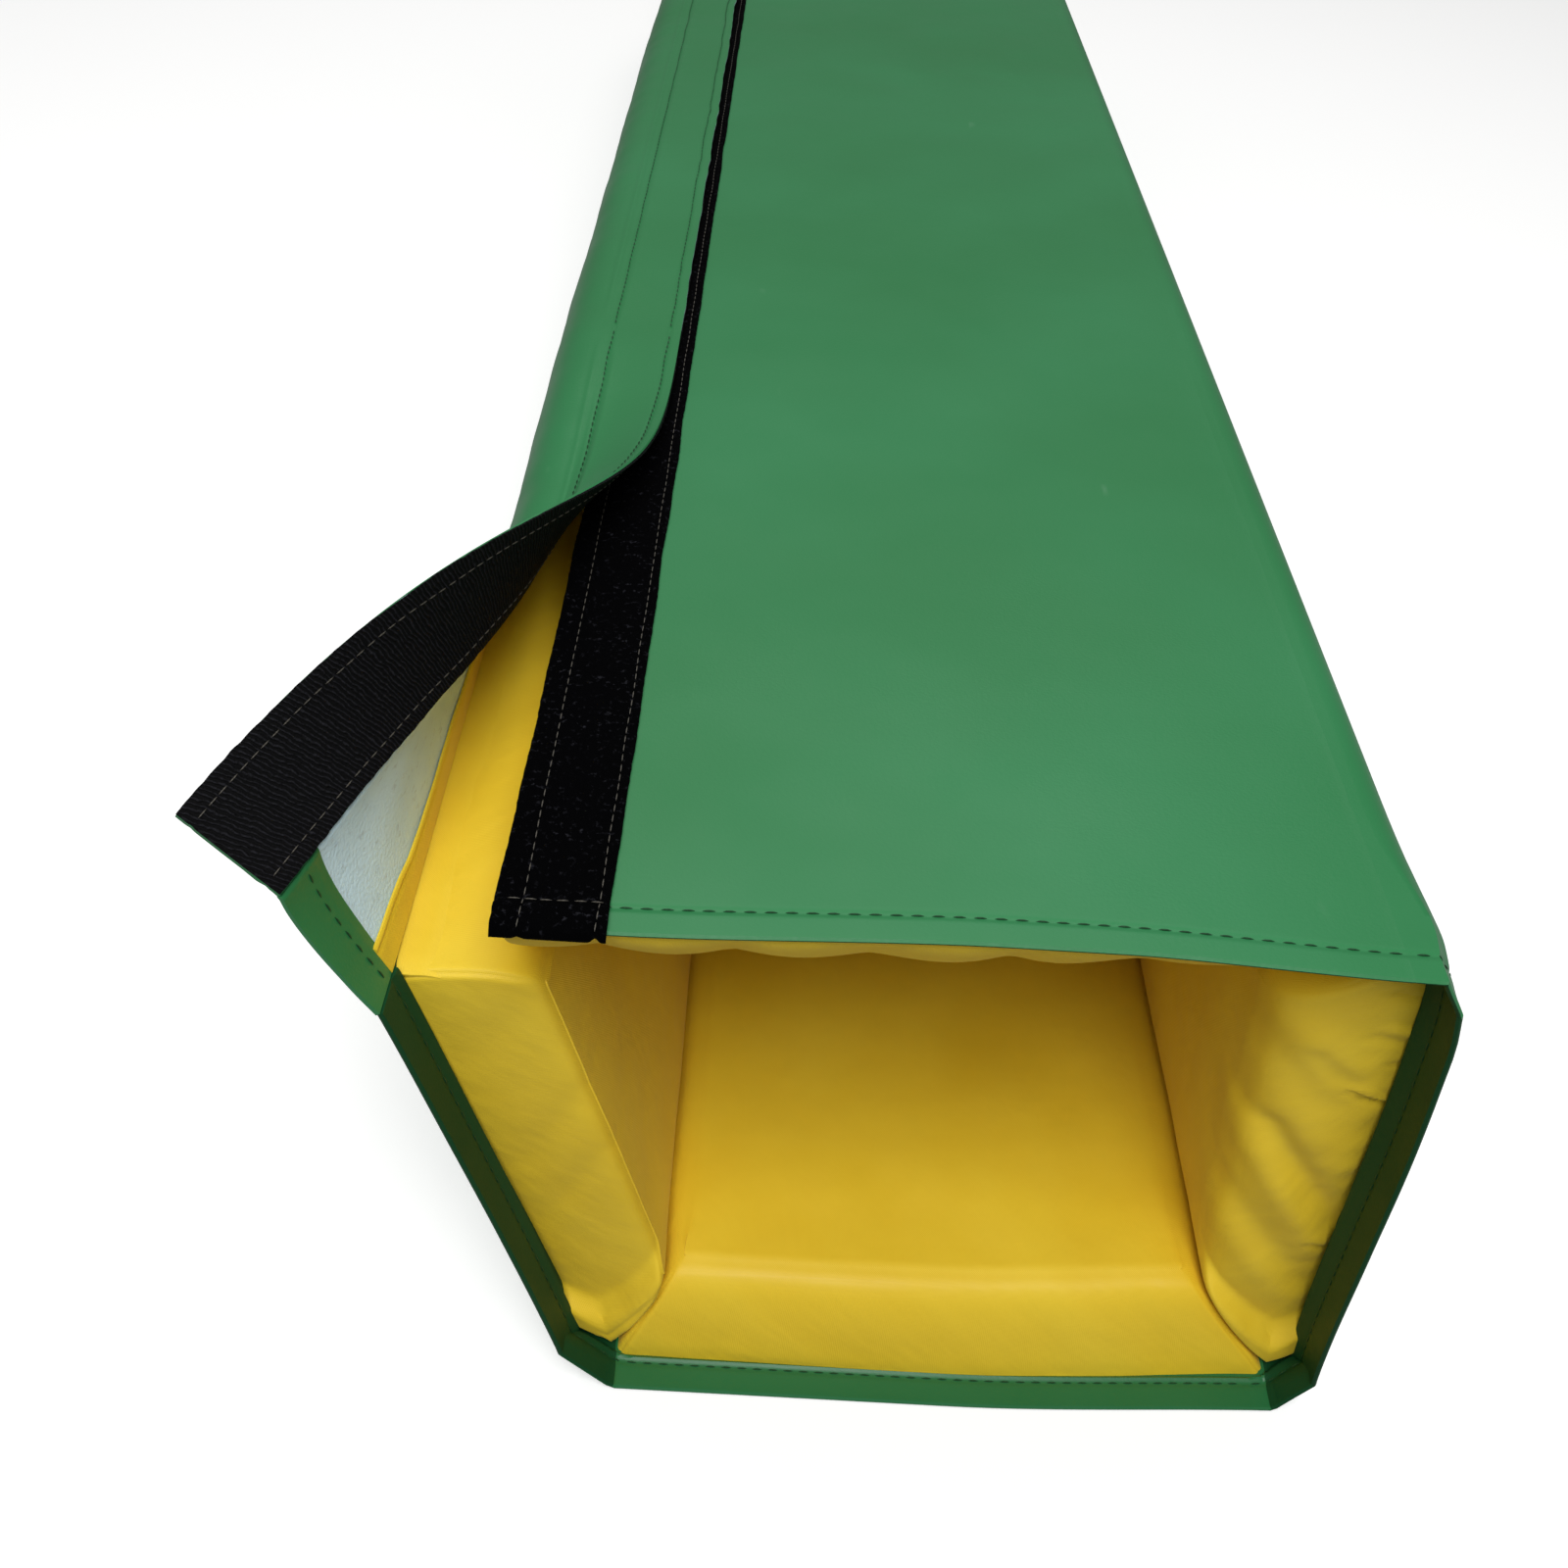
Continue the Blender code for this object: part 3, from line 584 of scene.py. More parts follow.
# Folds of the linings' near ends: from (s, d) to (s, d) on the panel, half width, and height
END_FOLDS = {
    "back": (
        ((0.060, 0.006), (0.066, 0.030), 0.0040, -0.0005),
        ((0.205, 0.004), (0.190, 0.036), 0.0060, -0.0006),
        ((0.250, 0.008), (0.236, 0.040), 0.0050, -0.0006),
    ),
    "left": (
        ((0.120, 0.012), (0.155, 0.042), 0.0070, -0.0010),
        ((0.084, 0.010), (0.120, 0.041), 0.0060, -0.0009),
        ((0.186, 0.016), (0.210, 0.040), 0.0080, -0.0007),
        ((0.004, 0.012), (0.036, 0.045), 0.0013, -0.0007),
        ((0.014, 0.011), (0.034, 0.038), 0.0012, -0.0006),
        ((0.010, 0.022), (0.028, 0.042), 0.0014, 0.0005),
    ),
    "right": (
        ((0.224, 0.046), (0.193, 0.016), 0.0100, 0.0024),
        ((0.207, 0.031), (0.191, 0.017), 0.0038, -0.0018),
        ((0.1915, 0.0170), (0.1820, 0.0010), 0.0013, 0.0016),
        ((0.1880, 0.0165), (0.1785, 0.0010), 0.0014, -0.0015),
        ((0.187, 0.043), (0.142, 0.012), 0.0110, 0.0020),
        ((0.162, 0.038), (0.104, 0.004), 0.0055, -0.0032),
        ((0.154, 0.047), (0.089, 0.008), 0.0070, 0.0028),
        ((0.0915, 0.0110), (0.0850, 0.0015), 0.0013, -0.0016),
        ((0.114, 0.044), (0.058, 0.005), 0.0070, -0.0020),
        ((0.096, 0.046), (0.045, 0.010), 0.0080, 0.0014),
        ((0.060, 0.046), (0.034, 0.020), 0.0050, -0.0010),
        ((0.2190, 0.0160), (0.2140, 0.0020), 0.0020, -0.0014),
        ((0.2240, 0.0120), (0.2205, 0.0020), 0.0020, 0.0012),
        ((0.2040, 0.0080), (0.2020, 0.0010), 0.0016, -0.0012),
        ((0.2425, 0.0140), (0.2385, 0.0040), 0.0013, -0.0018),
    ),
    "front": (),
}
# Depth of the gathers along each lining's end seams and their pitch, and of the lobes between its tucks
GATHER = {"back": 0.0002, "left": 0.0001, "right": 0.0003, "front": 0.0002}
LOBES = {"back": 0.0, "left": 0.0, "right": 0.0, "front": 0.0026}
GATHER_PITCH, LOBE_PITCH = 0.0155, 0.046
# How many lines a lining's grid has across its face
LINING_SPANS = {"back": 80, "left": 90, "right": 120, "front": 70}
# How much wider the rings lie apart along a crossing border, and the small round that cuts the corner back
# between two borders, with its reach
RING_SPREAD, CORNER_CUT, CORNER_REACH = 0.014, 0.0016, 0.004
# How far a lining's crown falls to its borders, how much smaller the foam board is, and the gap that the
# boards leave at the closure
CROWN, FOAM_GAP, CLOSURE_GAP = 0.0030, 0.0045, 0.0028
# How far the root's lining stays inside the pad's ends, and its width
ROOT_INSET, ROOT_LINING = 0.0212, 0.019


def ring_inset(own, other, insets):
    """Inset of a grid line: its own ring's, or where the crossing border's ring is lower, that ring's plus
    a spread along it, with the corner between two borders cut back by a small round."""
    low = np.minimum(own, other)
    inset = through(RING, insets, low)
    spread = inset + RING_SPREAD * (own - low)
    inset = np.where(own > other, np.maximum(through(RING, insets, own), spread), inset)
    apart = RING_SPREAD * np.abs(own - other)
    return inset + CORNER_CUT * np.clip(1 - apart / CORNER_REACH, 0, 1) ** 2 * (low < 1)


def fold_limit(sizes, own, angle, cuts, back_run=None, face=None):
    """Where a board's face ends at a fold, measured along the face: on the plane that halves the fold, and
    at the pad's ends on the line from the crease's foot to the boards' inner corner. back_run is the
    direction of the panel before, given for the panel whose board also fills the creased fold."""
    slope = 1 / math.tan(math.radians(angle / 2))

    def limit(depth, y):
        """Place along the face at which the board ends, at this depth and place along the pad."""
        halving = depth * slope + SEAT
        reach = halving
        for end_cuts, creased, hemmed in zip(cuts, pressed_share(sizes, y), hem_share(sizes, y)):
            first_cut, second_cut = (a + hemmed * (b - a) for a, b in zip(*end_cuts))
            if back_run is None:
                foot, height, rest = first_cut, 0.0, 0.0
            else:
                height, foot = first_cut * (back_run @ own.inward), first_cut * (back_run @ own.run)
                rest = 0.0022 * np.clip(1 - (depth - height) / 0.010, 0, 1)
            line = foot + (slope * own.thickness - foot) * (depth - height) / (own.thickness - height)
            if back_run is not None:
                line = np.where(depth < height, second_cut + (foot - second_cut) * depth / height, line)
            reach = reach + creased * (line + rest - halving)
        return reach if face is None else face - reach

    return limit, FOLD_INSET, PRESSED_INSET


def board_limits(section, sizes):
    """For each panel, both ends of its board: halved or pressed at the folds, level or square at the
    closure, with the insets of the lining's border there."""
    lean = section.left_lean
    level = section.left_top - CLOSURE_GAP - SEAT

    def level_top(depth, _y):
        """The left board ends on a level under the front board."""
        return (level - depth * math.sin(lean)) / math.cos(lean)

    def square(depth, _y):
        """The front board ends square to its face."""
        return section.front.face - CLOSURE_GAP + 0 * depth

    back, left, right, front = (getattr(section, name) for name in PANELS)
    back_left, back_right, right_front = zip(section.angles, FOLD_CUTS.values())
    return {
        "back": (
            fold_limit(sizes, back, *back_left),
            fold_limit(sizes, back, *back_right, face=back.face),
        ),
        "left": (
            fold_limit(sizes, left, *back_left, back_run=back.run),
            (level_top, FREE_INSET, FREE_INSET),
        ),
        "right": (
            fold_limit(sizes, right, *back_right, back_run=-back.run),
            fold_limit(sizes, right, *right_front, face=right.face),
        ),
        "front": (
            fold_limit(sizes, front, *right_front, back_run=-right.run),
            (square, FREE_INSET, FREE_INSET),
        ),
    }


def border_lines(rings, spans):
    """Ring and share of each grid line: rings from 0 to 1, the spans across the face, and rings back."""
    climb = np.linspace(0, 1, rings + 1)
    ring = np.concatenate([climb[:-1], np.ones(len(spans)), climb[-2::-1]])
    return ring, np.concatenate([np.zeros(rings), spans, np.ones(rings)])


def cushion_points(sizes, name, panel, limits, rings, spans, shrink, base):
    """Padded form over a board, as places s and y on the panel, depth, and distance from the end's seam.

    The grid's outer lines are rings that climb from the seam up the sides by RING_HEIGHT, moved in by
    their border's insets, and the lines between span the face with a low crown. All of it is moved inwards
    by shrink."""
    recess, tip, lean, end_inset = BOARD_ENDS[name]
    (ring_s, line_s), (ring_y, line_y) = (border_lines(rings, span) for span in spans)
    own_s, own_y = np.meshgrid(ring_s, ring_y)
    share_s, share_y = np.meshgrid(line_s, line_y)
    crown = (1 - (2 * share_s - 1) ** 4) * (1 - (2 * share_y - 1) ** 4)
    full = panel.thickness - shrink - base - CROWN * (1 - crown)
    depth = base + full * through(RING, RING_HEIGHT, np.minimum(own_s, own_y))
    seam = through((0.0, 0.5, 1.0), recess, share_s)
    if shrink == 0 or tip[0] < 0:
        seam = seam - tip[0] * (1 - smooth(share_s * panel.face / tip[1]))
    leaning = (lean[0] + (lean[1] - lean[0]) * share_s) * depth / panel.thickness
    reach = sizes.end - seam - leaning - shrink - ring_inset(own_y, own_s, end_inset)
    y = reach * (2 * share_y - 1)
    near, far = pressed_share(sizes, y)
    edges = []
    for limit, middle, pressed in limits:
        inset = ring_inset(own_s, own_y, middle)
        inset = inset + (near + far) * (ring_inset(own_s, own_y, pressed) - inset)
        edges.append((limit(depth, y), inset + shrink))
    low = edges[0][0] + edges[0][1]
    high = edges[1][0] - edges[1][1]
    return low + (high - low) * share_s, y, depth, sizes.end - seam - np.abs(y)


def folds(s, d, lines):
    """Sum of ridges along straight lines: height times a bell of the distance from the line."""
    total = np.zeros_like(s)
    for (s0, d0), (s1, d1), width, height in lines:
        run = np.array([s1 - s0, d1 - d0])
        t = np.clip(((s - s0) * run[0] + (d - d0) * run[1]) / (run @ run), 0, 1)
        gap = np.hypot(s - s0 - t * run[0], d - d0 - t * run[1])
        total += height * bell(gap, width) * (0.35 + 0.65 * np.sin(math.pi * (0.15 + 0.7 * t)))
    return total


def make_lining(sizes, name, panel, limits, seed, material):
    """Nylon lining over a board: the padded form, with gathers that die out from its end seams, lobes
    between the tucks, soft waves on its faces, the folds of its near end, and a second skin a cloth's
    thickness inside."""
    dense, even, last = np.linspace(0, 0.06, 40), np.linspace(0.06, 0.95, 100), np.linspace(0.95, 1, 13)
    spans = (np.linspace(0, 1, LINING_SPANS[name]), np.concatenate([dense[:-1], even, last[1:]]))
    base = sizes.cover + SEAT
    s, y, d, behind = cushion_points(sizes, name, panel, limits, RING_COUNT, spans, 0.0, base)
    points = panel.place(s, y, d)
    normal = grid_normals(points)
    if faces_against(points, -panel.outward):
        points, normal, s, y, d, behind = (grid[:, ::-1] for grid in (points, -normal, s, y, d, behind))
    height = d / panel.thickness
    rise = smooth(height * 8)
    gather = np.sin(2 * math.pi * s / GATHER_PITCH + 4 * ripple(s, 0, 0.06, seed))
    move = GATHER[name] * gather * np.exp(-behind / 0.009 - d / 0.012) * rise
    lobe = np.abs(np.sin(math.pi * (s + 0.010 * ripple(s, 0, 0.11, seed + 3)) / LOBE_PITCH)) - 0.6
    move += LOBES[name] * lobe * smooth((0.060 - behind) / 0.035) * smooth((s - 0.05) / 0.06) * rise
    wave = 0.0008 * ripple(s, y + d, 0.13, seed + 1) + 0.0003 * ripple(s + d, y, 0.045, seed + 2)
    move += rise * wave
    near_folds = np.where(y < 0, folds(s, d, END_FOLDS[name]), 0)
    move += near_folds * smooth((0.045 - behind) / 0.025) * smooth(height * 14)
    points = points + normal * move[..., None]
    normal = grid_normals(points)
    uv = np.stack([s + d, y + d * np.clip(y / 0.6, -1, 1)], axis=-1)
    return shell(name + "_lining_skin", points, points - normal * sizes.lining, uv, [material])


def make_foam(sizes, name, panel, limits, material):
    """Foam board inside a lining: the same form, 4.5 mm smaller, closed flat towards the cover."""
    spans = (np.linspace(0, 1, 9), np.linspace(0, 1, 41))
    base = sizes.cover + 0.0007
    s, y, d, _ = cushion_points(sizes, name, panel, limits, 8, spans, FOAM_GAP, base)
    top, under = panel.place(s, y, d), panel.place(s, y, np.full_like(d, d.min() - 0.0002))
    uv = np.stack([s + d, y], axis=-1)
    return shell(name + "_foam_board", top, under, uv, [material], outward=-panel.outward)


def make_root_lining(sizes, section, material):
    """Lining carried from the left board's top to the flap's root: a low curve through five heights across
    18 mm, level at the root and sinking into the board's lining and at its ends, with slow waves."""
    end = sizes.end - ROOT_INSET
    grid_t, grid_y = np.meshgrid(np.linspace(0.0011, ROOT_LINING, 19), np.linspace(-end, end, 500))
    places, heights = (-0.0004, 0.002, 0.006, 0.012, 0.0195), (0.0004, -0.0008, -0.0014, -0.0013, -0.0026)
    height = through(places, heights, grid_t)
    height -= 0.0016 * smooth(1 - (end - np.abs(grid_y)) / 0.005)
    height += 0.0003 * ripple(grid_t, grid_y, 0.035, 77) * smooth(grid_t / 0.004)
    x, z = section.root[0] + grid_t, section.root[1] + height
    top, under = (np.stack([x, grid_y, level], axis=-1) for level in (z, z - sizes.lining))
    return shell("left_lining_edge", top, under, np.stack([grid_t, grid_y], axis=-1), [material])


# ---------------------------------------------------------------- flap


# Distance of the tape's stitches from the flap's tape strip's inner edge and from its free edge
TAPE_STITCH = (0.0048, 0.0055)
# Width of the flap's hem, and distance of its stitches from the end
HEM_TURN, HEM_STITCH = 0.0205, 0.0135
# Length at the flap's ends whose rows are 1 mm apart, and the step to the join in mid length
HEM_ROWS, JOIN_ROW = 0.018, 0.003
# Width of the lining over the flap's root as it lies, and with its turned edge laid flat
SEAM_WIDTH, SEAM_FLAT = 0.0148, 0.0165
# Distance of the loop tape's stitches from the panel's left edge: the outer row and the inner one
LOOP_STITCH = (0.0085, 0.0325)
# How far the loop tape's near end reaches past the pad's, how far it is turned under, how much thicker it
# is there, and how far it sinks past the pad's end
LOOP_PAST, LOOP_TURN, LOOP_LIFT, LOOP_SINK = 0.0042, 0.0135, 0.0012, 0.0012
# Gap between the flap's cloth and its hook tape, and the share of the tape's thickness under its hooks
HOOK_GAP, HOOK_BASE = 0.0002, 0.8
# How far the flap's stitches stand off its cloth
THREAD_LIFT = 0.0001


class Flap:
    """The flap as a surface: across it from its root to its free edge, along the pad from the near end."""

    def __init__(self, section, flap, sizes):
        self.section, self.flap = section, flap
        self.root, self.inner = section.root, section.tape_inner
        self.start = np.array([self.inner[0] - flap.inset, section.near, self.inner[1] - flap.drop])
        self.axis = unit(np.array([math.tan(flap.turn_out), 1.0, math.tan(flap.climb)]))
        t = np.linspace(0, 1, 61)[:, None]
        heel = self.root + np.array([math.cos(flap.heel), math.sin(flap.heel)]) * flap.handle
        tape = self.inner - np.array([flap.handle, 0.0])
        self.path = (
            self.root * (1 - t) ** 3
            + 3 * heel * t * (1 - t) ** 2
            + 3 * tape * t * t * (1 - t)
            + self.inner * t**3
        )
        run = distances(self.path)
        self.root_width = run[-1]
        self.path_share = run / run[-1]
        self.far = 2 * sizes.end
        self.total = self.root_width + flap.hook_width

    def peel_weight(self, along):
        """Share of the peel at a distance along its line: 0 past the peel, nearly 1 at the near end."""
        return smooth((self.flap.peel - along) / (self.flap.peel + self.flap.past))

    def peeled(self, place):
        """Turns places on the closed tape strip about the peel line by their share of the turn."""
        arm = place - self.start
        angle = -self.flap.turn * self.peel_weight(arm @ self.axis)[..., None]
        along = (arm @ self.axis)[..., None] * self.axis
        across = arm * np.cos(angle) + np.cross(self.axis, arm) * np.sin(angle)
        return self.start + across + along * (1 - np.cos(angle))

    def tape(self, u, along, depth):
        """A place on the tape strip: u metres from its inner edge, depth in from the outer face. The peeled
        end slips a little outwards and past the pad's end, and the closed edge wavers."""
        u, along, depth = np.broadcast_arrays(u, along, depth)
        share = self.peel_weight(along)
        waver = 0.0010 * ripple(0, along, 0.09, 51) + 0.0005 * ripple(0, along, 0.03, 52)
        waver = waver * smooth((along - self.flap.peel) / 0.05) * smooth((u - 0.020) / 0.018)
        x = self.inner[0] + u + waver - self.flap.slip_out * share
        y = self.section.near + along - self.flap.slip_near * share
        return self.peeled(np.stack([x, y, self.inner[1] - depth], axis=-1))

    def root_strip(self, share, along):
        """The root strip from the root to the tape strip's inner edge. It keeps the closed bulge far in,
        and flattens to a slack line at the opened end. The bulge's run along its chord and rise from it,
        as shares of the chord, are laid on the line from the root to the tape strip."""
        share, along = np.broadcast_arrays(share, along)
        root_x, root_z = (np.full_like(along, at) for at in self.root)
        start = np.stack([root_x, self.section.near + along, root_z], axis=-1)
        x, z = (np.interp(share, self.path_share, self.path[:, k]) - self.root[k] for k in (0, 1))
        chord = self.inner - self.root
        size = chord @ chord
        run, rise = (x * chord[0] + z * chord[1]) / size, (z * chord[0] - x * chord[1]) / size
        reach = self.tape(0.0, along, 0.0) - start
        wide = np.linalg.norm(reach[..., [0, 2]], axis=-1)
        outward = unit(np.stack([-reach[..., 2], np.zeros_like(along), reach[..., 0]], axis=-1))
        weight = smooth((self.flap.root_reach - along) / (self.flap.root_reach + self.flap.root_past))
        slack = rise * wide * (1 - 0.8 * smooth(2 * weight))
        return start + reach * run[..., None] + outward * slack[..., None]

    def normal(self, across, along):
        """Outward unit normal, from places a tenth of a millimetre apart."""
        step = 0.0001
        low = np.minimum(across, self.total - step)
        across_run = self.face(low + step, along) - self.face(low, along)
        along_run = self.face(low, along + step) - self.face(low, along)
        return unit(np.cross(across_run, along_run))

    def face(self, across, along):
        """A place on the flap's outer face, by the distance across from the root."""
        strip = self.root_strip(np.minimum(across / self.root_width, 1.0), along)
        tape = self.tape(np.maximum(across - self.root_width, 0.0), along, 0.0)
        return np.where((across < self.root_width)[..., None], strip, tape)

    def place(self, across, along, depth):
        """A place this deep under the flap's outer face."""
        across, along, depth = np.broadcast_arrays(across, along, depth)
        return self.face(across, along) - depth[..., None] * self.normal(across, along)


def flap_rows(flap, span):
    """Places along the flap over a span: 1 mm apart in the hems and about 4 mm between."""
    low, high = span
    start, first = low + JOIN_ROW, [low]
    if low < HEM_ROWS:
        start, first = low + HEM_ROWS, np.linspace(low, low + HEM_ROWS, 19)[:-1]
    finish, last = high - JOIN_ROW, [high]
    if high > flap.far - HEM_ROWS:
        finish, last = high - HEM_ROWS, np.linspace(high - HEM_ROWS, high, 19)[1:]
    return np.concatenate([first, np.linspace(start, finish, int((finish - start) / 0.004)), last])


def make_flap_cloth(name, flap, span, lanes, materials):
    """A length of the flap's cloth: its surface with slow waves that die out at the joins, pressed grooves
    and a ridge along the tape's stitches, a hem at the pad's ends, and the backing on its inner side."""
    edge = flap.flap.hook_width
    along = flap_rows(flap, span)
    across, grid_a = np.meshgrid(lanes, along)
    points = flap.face(across, grid_a)
    tape_in = across - flap.root_width
    settle = smooth(np.abs(grid_a - flap.flap.peel) / 0.05)
    wave = 0.0011 * ripple(across, grid_a, 0.12, 31) + 0.0003 * ripple(across, grid_a, 0.035, 33)
    wave = wave * settle * smooth(across / 0.02) * smooth(-tape_in / 0.02 + 0.4)
    groove = bell(tape_in - TAPE_STITCH[0], 0.0011) + bell(tape_in - edge + TAPE_STITCH[1], 0.0011)
    ridge = bell(tape_in + 0.0008, 0.0016) + 0.7 * bell(tape_in - TAPE_STITCH[0] - 0.0035, 0.0015)
    pucker = 0.5 + 0.5 * np.sin(2 * math.pi * grid_a / 0.011 + 5 * ripple(0, grid_a, 0.05, 35))
    relief = 0.0007 * ridge * settle * (0.75 + 0.25 * pucker) - 0.0005 * groove
    points = points + grid_normals(points) * (wave + relief)[..., None]
    normal = grid_normals(points)
    end = np.minimum(grid_a, flap.far - grid_a)
    thick = flap.flap.cloth * (1 + turned_in(HEM_TURN, end))
    inner = points - normal * thick[..., None]
    rows = (grid_a[:-1, :-1] + grid_a[1:, 1:]) / 2
    backing = np.where(np.minimum(rows, flap.far - rows) < HEM_TURN, 0, 1)
    uv = np.stack([across, grid_a], axis=-1)
    return shell(name, points, inner, uv, materials, inner_slot=backing)


def make_hook_tape(name, flap, span, material):
    """Hook tape on the inner side of the flap's edge: flush with the strip, with slightly frayed edges, a
    low uneven nap, and a flat selvedge along both edges."""
    low, high = span
    wide = flap.flap.hook_width
    along = np.linspace(low, high, int((high - low) / (0.0014 if low < 0.1 else 0.0040)))
    u = ends_dense(-0.0002, wide + 0.0003, 0.006, 0.0010, 0.0026)
    grid_u, grid_a = np.meshgrid(u, along)
    fray = 0.0003 * ripple(0, grid_a, 0.006, 61) + 0.0004 * ripple(0, grid_a, 0.04, 62)
    u_placed = grid_u + fray * (2 * grid_u / wide - 1)
    inset = np.minimum(grid_u, wide - grid_u)
    nap = 0.00025 * ripple(grid_u, grid_a, 0.005, 63) * smooth((inset - 0.0035) / 0.0015)
    selvedge = 0.00025 * smooth((0.0016 - inset) / 0.0016)
    under = flap.flap.cloth + HOOK_GAP + flap.flap.cloth * turned_in(HEM_TURN, grid_a)
    depths = (under, under + flap.flap.hook * HOOK_BASE + nap - selvedge)
    outer, inner = (flap.tape(u_placed, grid_a, depth) for depth in depths)
    return shell(name, outer, inner, np.stack([grid_u, grid_a], axis=-1), [material])


def make_seam_lining(name, flap, span, material):
    """Lining carried over the root onto the flap's inner side, with a turned and wavy edge: a low roll
    along the edge, and a dip beside it."""
    along = np.linspace(span[0], span[1], int((span[1] - span[0]) / 0.003))
    lanes = np.array([0.0, 0.12, 0.25, 0.38, 0.5, 0.6, 0.7, 0.78, 0.84, 0.88, 0.91, 0.94, 0.97, 1.0])
    lane, grid_a = np.meshgrid(lanes, along)
    width = SEAM_WIDTH + 0.0012 * ripple(0, grid_a, 0.045, 41) + 0.0004 * ripple(0, grid_a, 0.014, 42)
    across = lane * width
    turned = 0.0007 + 0.0005 * bell(across - width + 0.0012, 0.0009)
    turned -= 0.0004 * bell(across - width + 0.0034, 0.0007)
    turned += 0.0003 * ripple(across, grid_a, 0.014, 43) * smooth(lane * 3) * smooth((1 - lane) * 4)
    under = flap.flap.cloth + 0.0003
    outer, inner = flap.place(across, grid_a, under), flap.place(across, grid_a, under + turned)
    return shell(name, outer, inner, np.stack([across, grid_a], axis=-1), [material])


def loop_fold(from_end):
    """How much thicker the loop tape is where its end is turned under."""
    return LOOP_LIFT * smooth((LOOP_TURN - from_end) / 0.0015)


def make_loop_tape(section, sizes, flap, material):
    """Loop tape along the front panel's left edge: napped, with slightly wavy edges, stitched grooves, and
    a near end that is turned under, bulges past the fold and is notched by the stitches."""
    panel = section.front
    near = sizes.end + LOOP_PAST
    fine = -near + np.arange(0, 0.016, 0.0008)
    middle = np.arange(-near + 0.016, -0.2, 0.0022)
    y = np.concatenate([fine, middle, np.linspace(-0.2, sizes.end, 180)])
    u = ends_dense(0.0, flap.loop_width, 0.009, 0.0007, 0.0016)
    grid_u, grid_y = np.meshgrid(u, y)
    from_outer, from_inner = grid_u - LOOP_STITCH[0], grid_u - LOOP_STITCH[1]
    lean = 0.0006 * ripple(0, grid_y, 0.06, 3) + 0.00025 * ripple(grid_u * 0.2, grid_y, 0.006, 4)
    notch = 0.0016 * bell(from_inner, 0.0012) + 0.0007 * bell(from_outer, 0.0012)
    from_end = grid_y + near
    placed_y = grid_y + notch * np.exp(-from_end / 0.0035)
    s = panel.face - grid_u + lean
    nap = 0.00025 * ripple(grid_u, grid_y, 0.0045, 8) + 0.0002 * ripple(grid_u, grid_y, 0.018, 9)
    groove = bell(from_outer, 0.0009) + bell(from_inner, 0.0009)
    edge = np.minimum(grid_u, flap.loop_width - grid_u)
    selvedge = 0.0006 * smooth((0.0012 - edge) / 0.0012)
    end = np.clip((0.0022 - from_end) / 0.0022, 0, 0.97)
    height = (flap.loop + loop_fold(from_end) + nap - 0.0006 * groove - selvedge) * np.sqrt(1 - end**2)
    past = np.clip((-placed_y - sizes.end) / 0.004, 0, 1)
    outer = panel.place(s, placed_y, -SEAT - height + LOOP_SINK * past)
    inner = panel.place(s, placed_y, -SEAT + LOOP_SINK * past + 0.0008 * past * (1 - end))
    uv = np.stack([grid_u, grid_y], axis=-1)
    return shell("loop_tape_pile", outer, inner, uv, [material], outward=panel.outward)


# ---------------------------------------------------------------- stitches


# Pitch, stitch length and half thickness of the thread: in the cover's hems, in the tapes, and of the
# tapes' rows where they show on the flap's outer face
HEM_SEWING = (0.0066, 0.0041, 0.00032)
TAPE_SEWING = (0.0052, 0.0038, 0.00020)
FLAP_SEWING = (0.0052, 0.0034, 0.00030)
# How deep a hem's stitches lie in its outer or inner side
STITCH_SINK = 0.0004


def make_stitches(name, path, normal, material, sewing):
    """Row of sewn stitches: one small spindle of thread, five squares of four points closed by a face at
    either end, repeated along the path at the pitch, turned to it and laid on the cloth by its normal."""
    pitch, stitch, radius = sewing
    length = distances(path)
    at = np.arange(pitch / 2, length[-1] - pitch / 2, pitch)
    at = at + 0.06 * pitch * np.sin(at * 911.0)
    centre, ahead, up = (
        np.stack([np.interp(place, length, values[:, k]) for k in range(3)], axis=-1)
        for place, values in ((at, path), (at + 0.001, path), (at, normal))
    )
    run, up = unit(ahead - centre), unit(up)
    side = unit(np.cross(up, run))
    ring = np.linspace(-1, 1, 5)[:, None]
    turn = np.linspace(0, 2 * math.pi, 5)[:-1] + math.pi / 4
    wide = radius * np.sqrt(np.maximum(1 - ring**2, 0.06)) * 1.2
    x = ring * stitch / 2 + 0 * turn
    y = wide * np.cos(turn)
    z = wide * np.sin(turn) * 0.8 + radius * 0.5 * (1 - ring**2)
    shape = np.stack([x, y, z], axis=-1).reshape(-1, 3)
    axes = np.stack([run, side, up], axis=1)
    points = centre[:, None] + shape @ axes
    index = np.arange(20).reshape(5, 4)
    around = np.roll(index, -1, axis=1)
    quads = np.stack([index[:-1], index[1:], around[1:], around[:-1]], axis=-1).reshape(-1, 4)
    quads = np.concatenate([quads, index[:1], index[-1:, ::-1]])
    faces = (quads + 20 * np.arange(len(at))[:, None, None]).reshape(-1, 4)
    uv = np.tile(np.stack([x.ravel(), (wide * turn).ravel()], axis=-1), (len(at), 1))
    return put_mesh(name, end_lie(points.reshape(-1, 3)), faces, uv, [material])


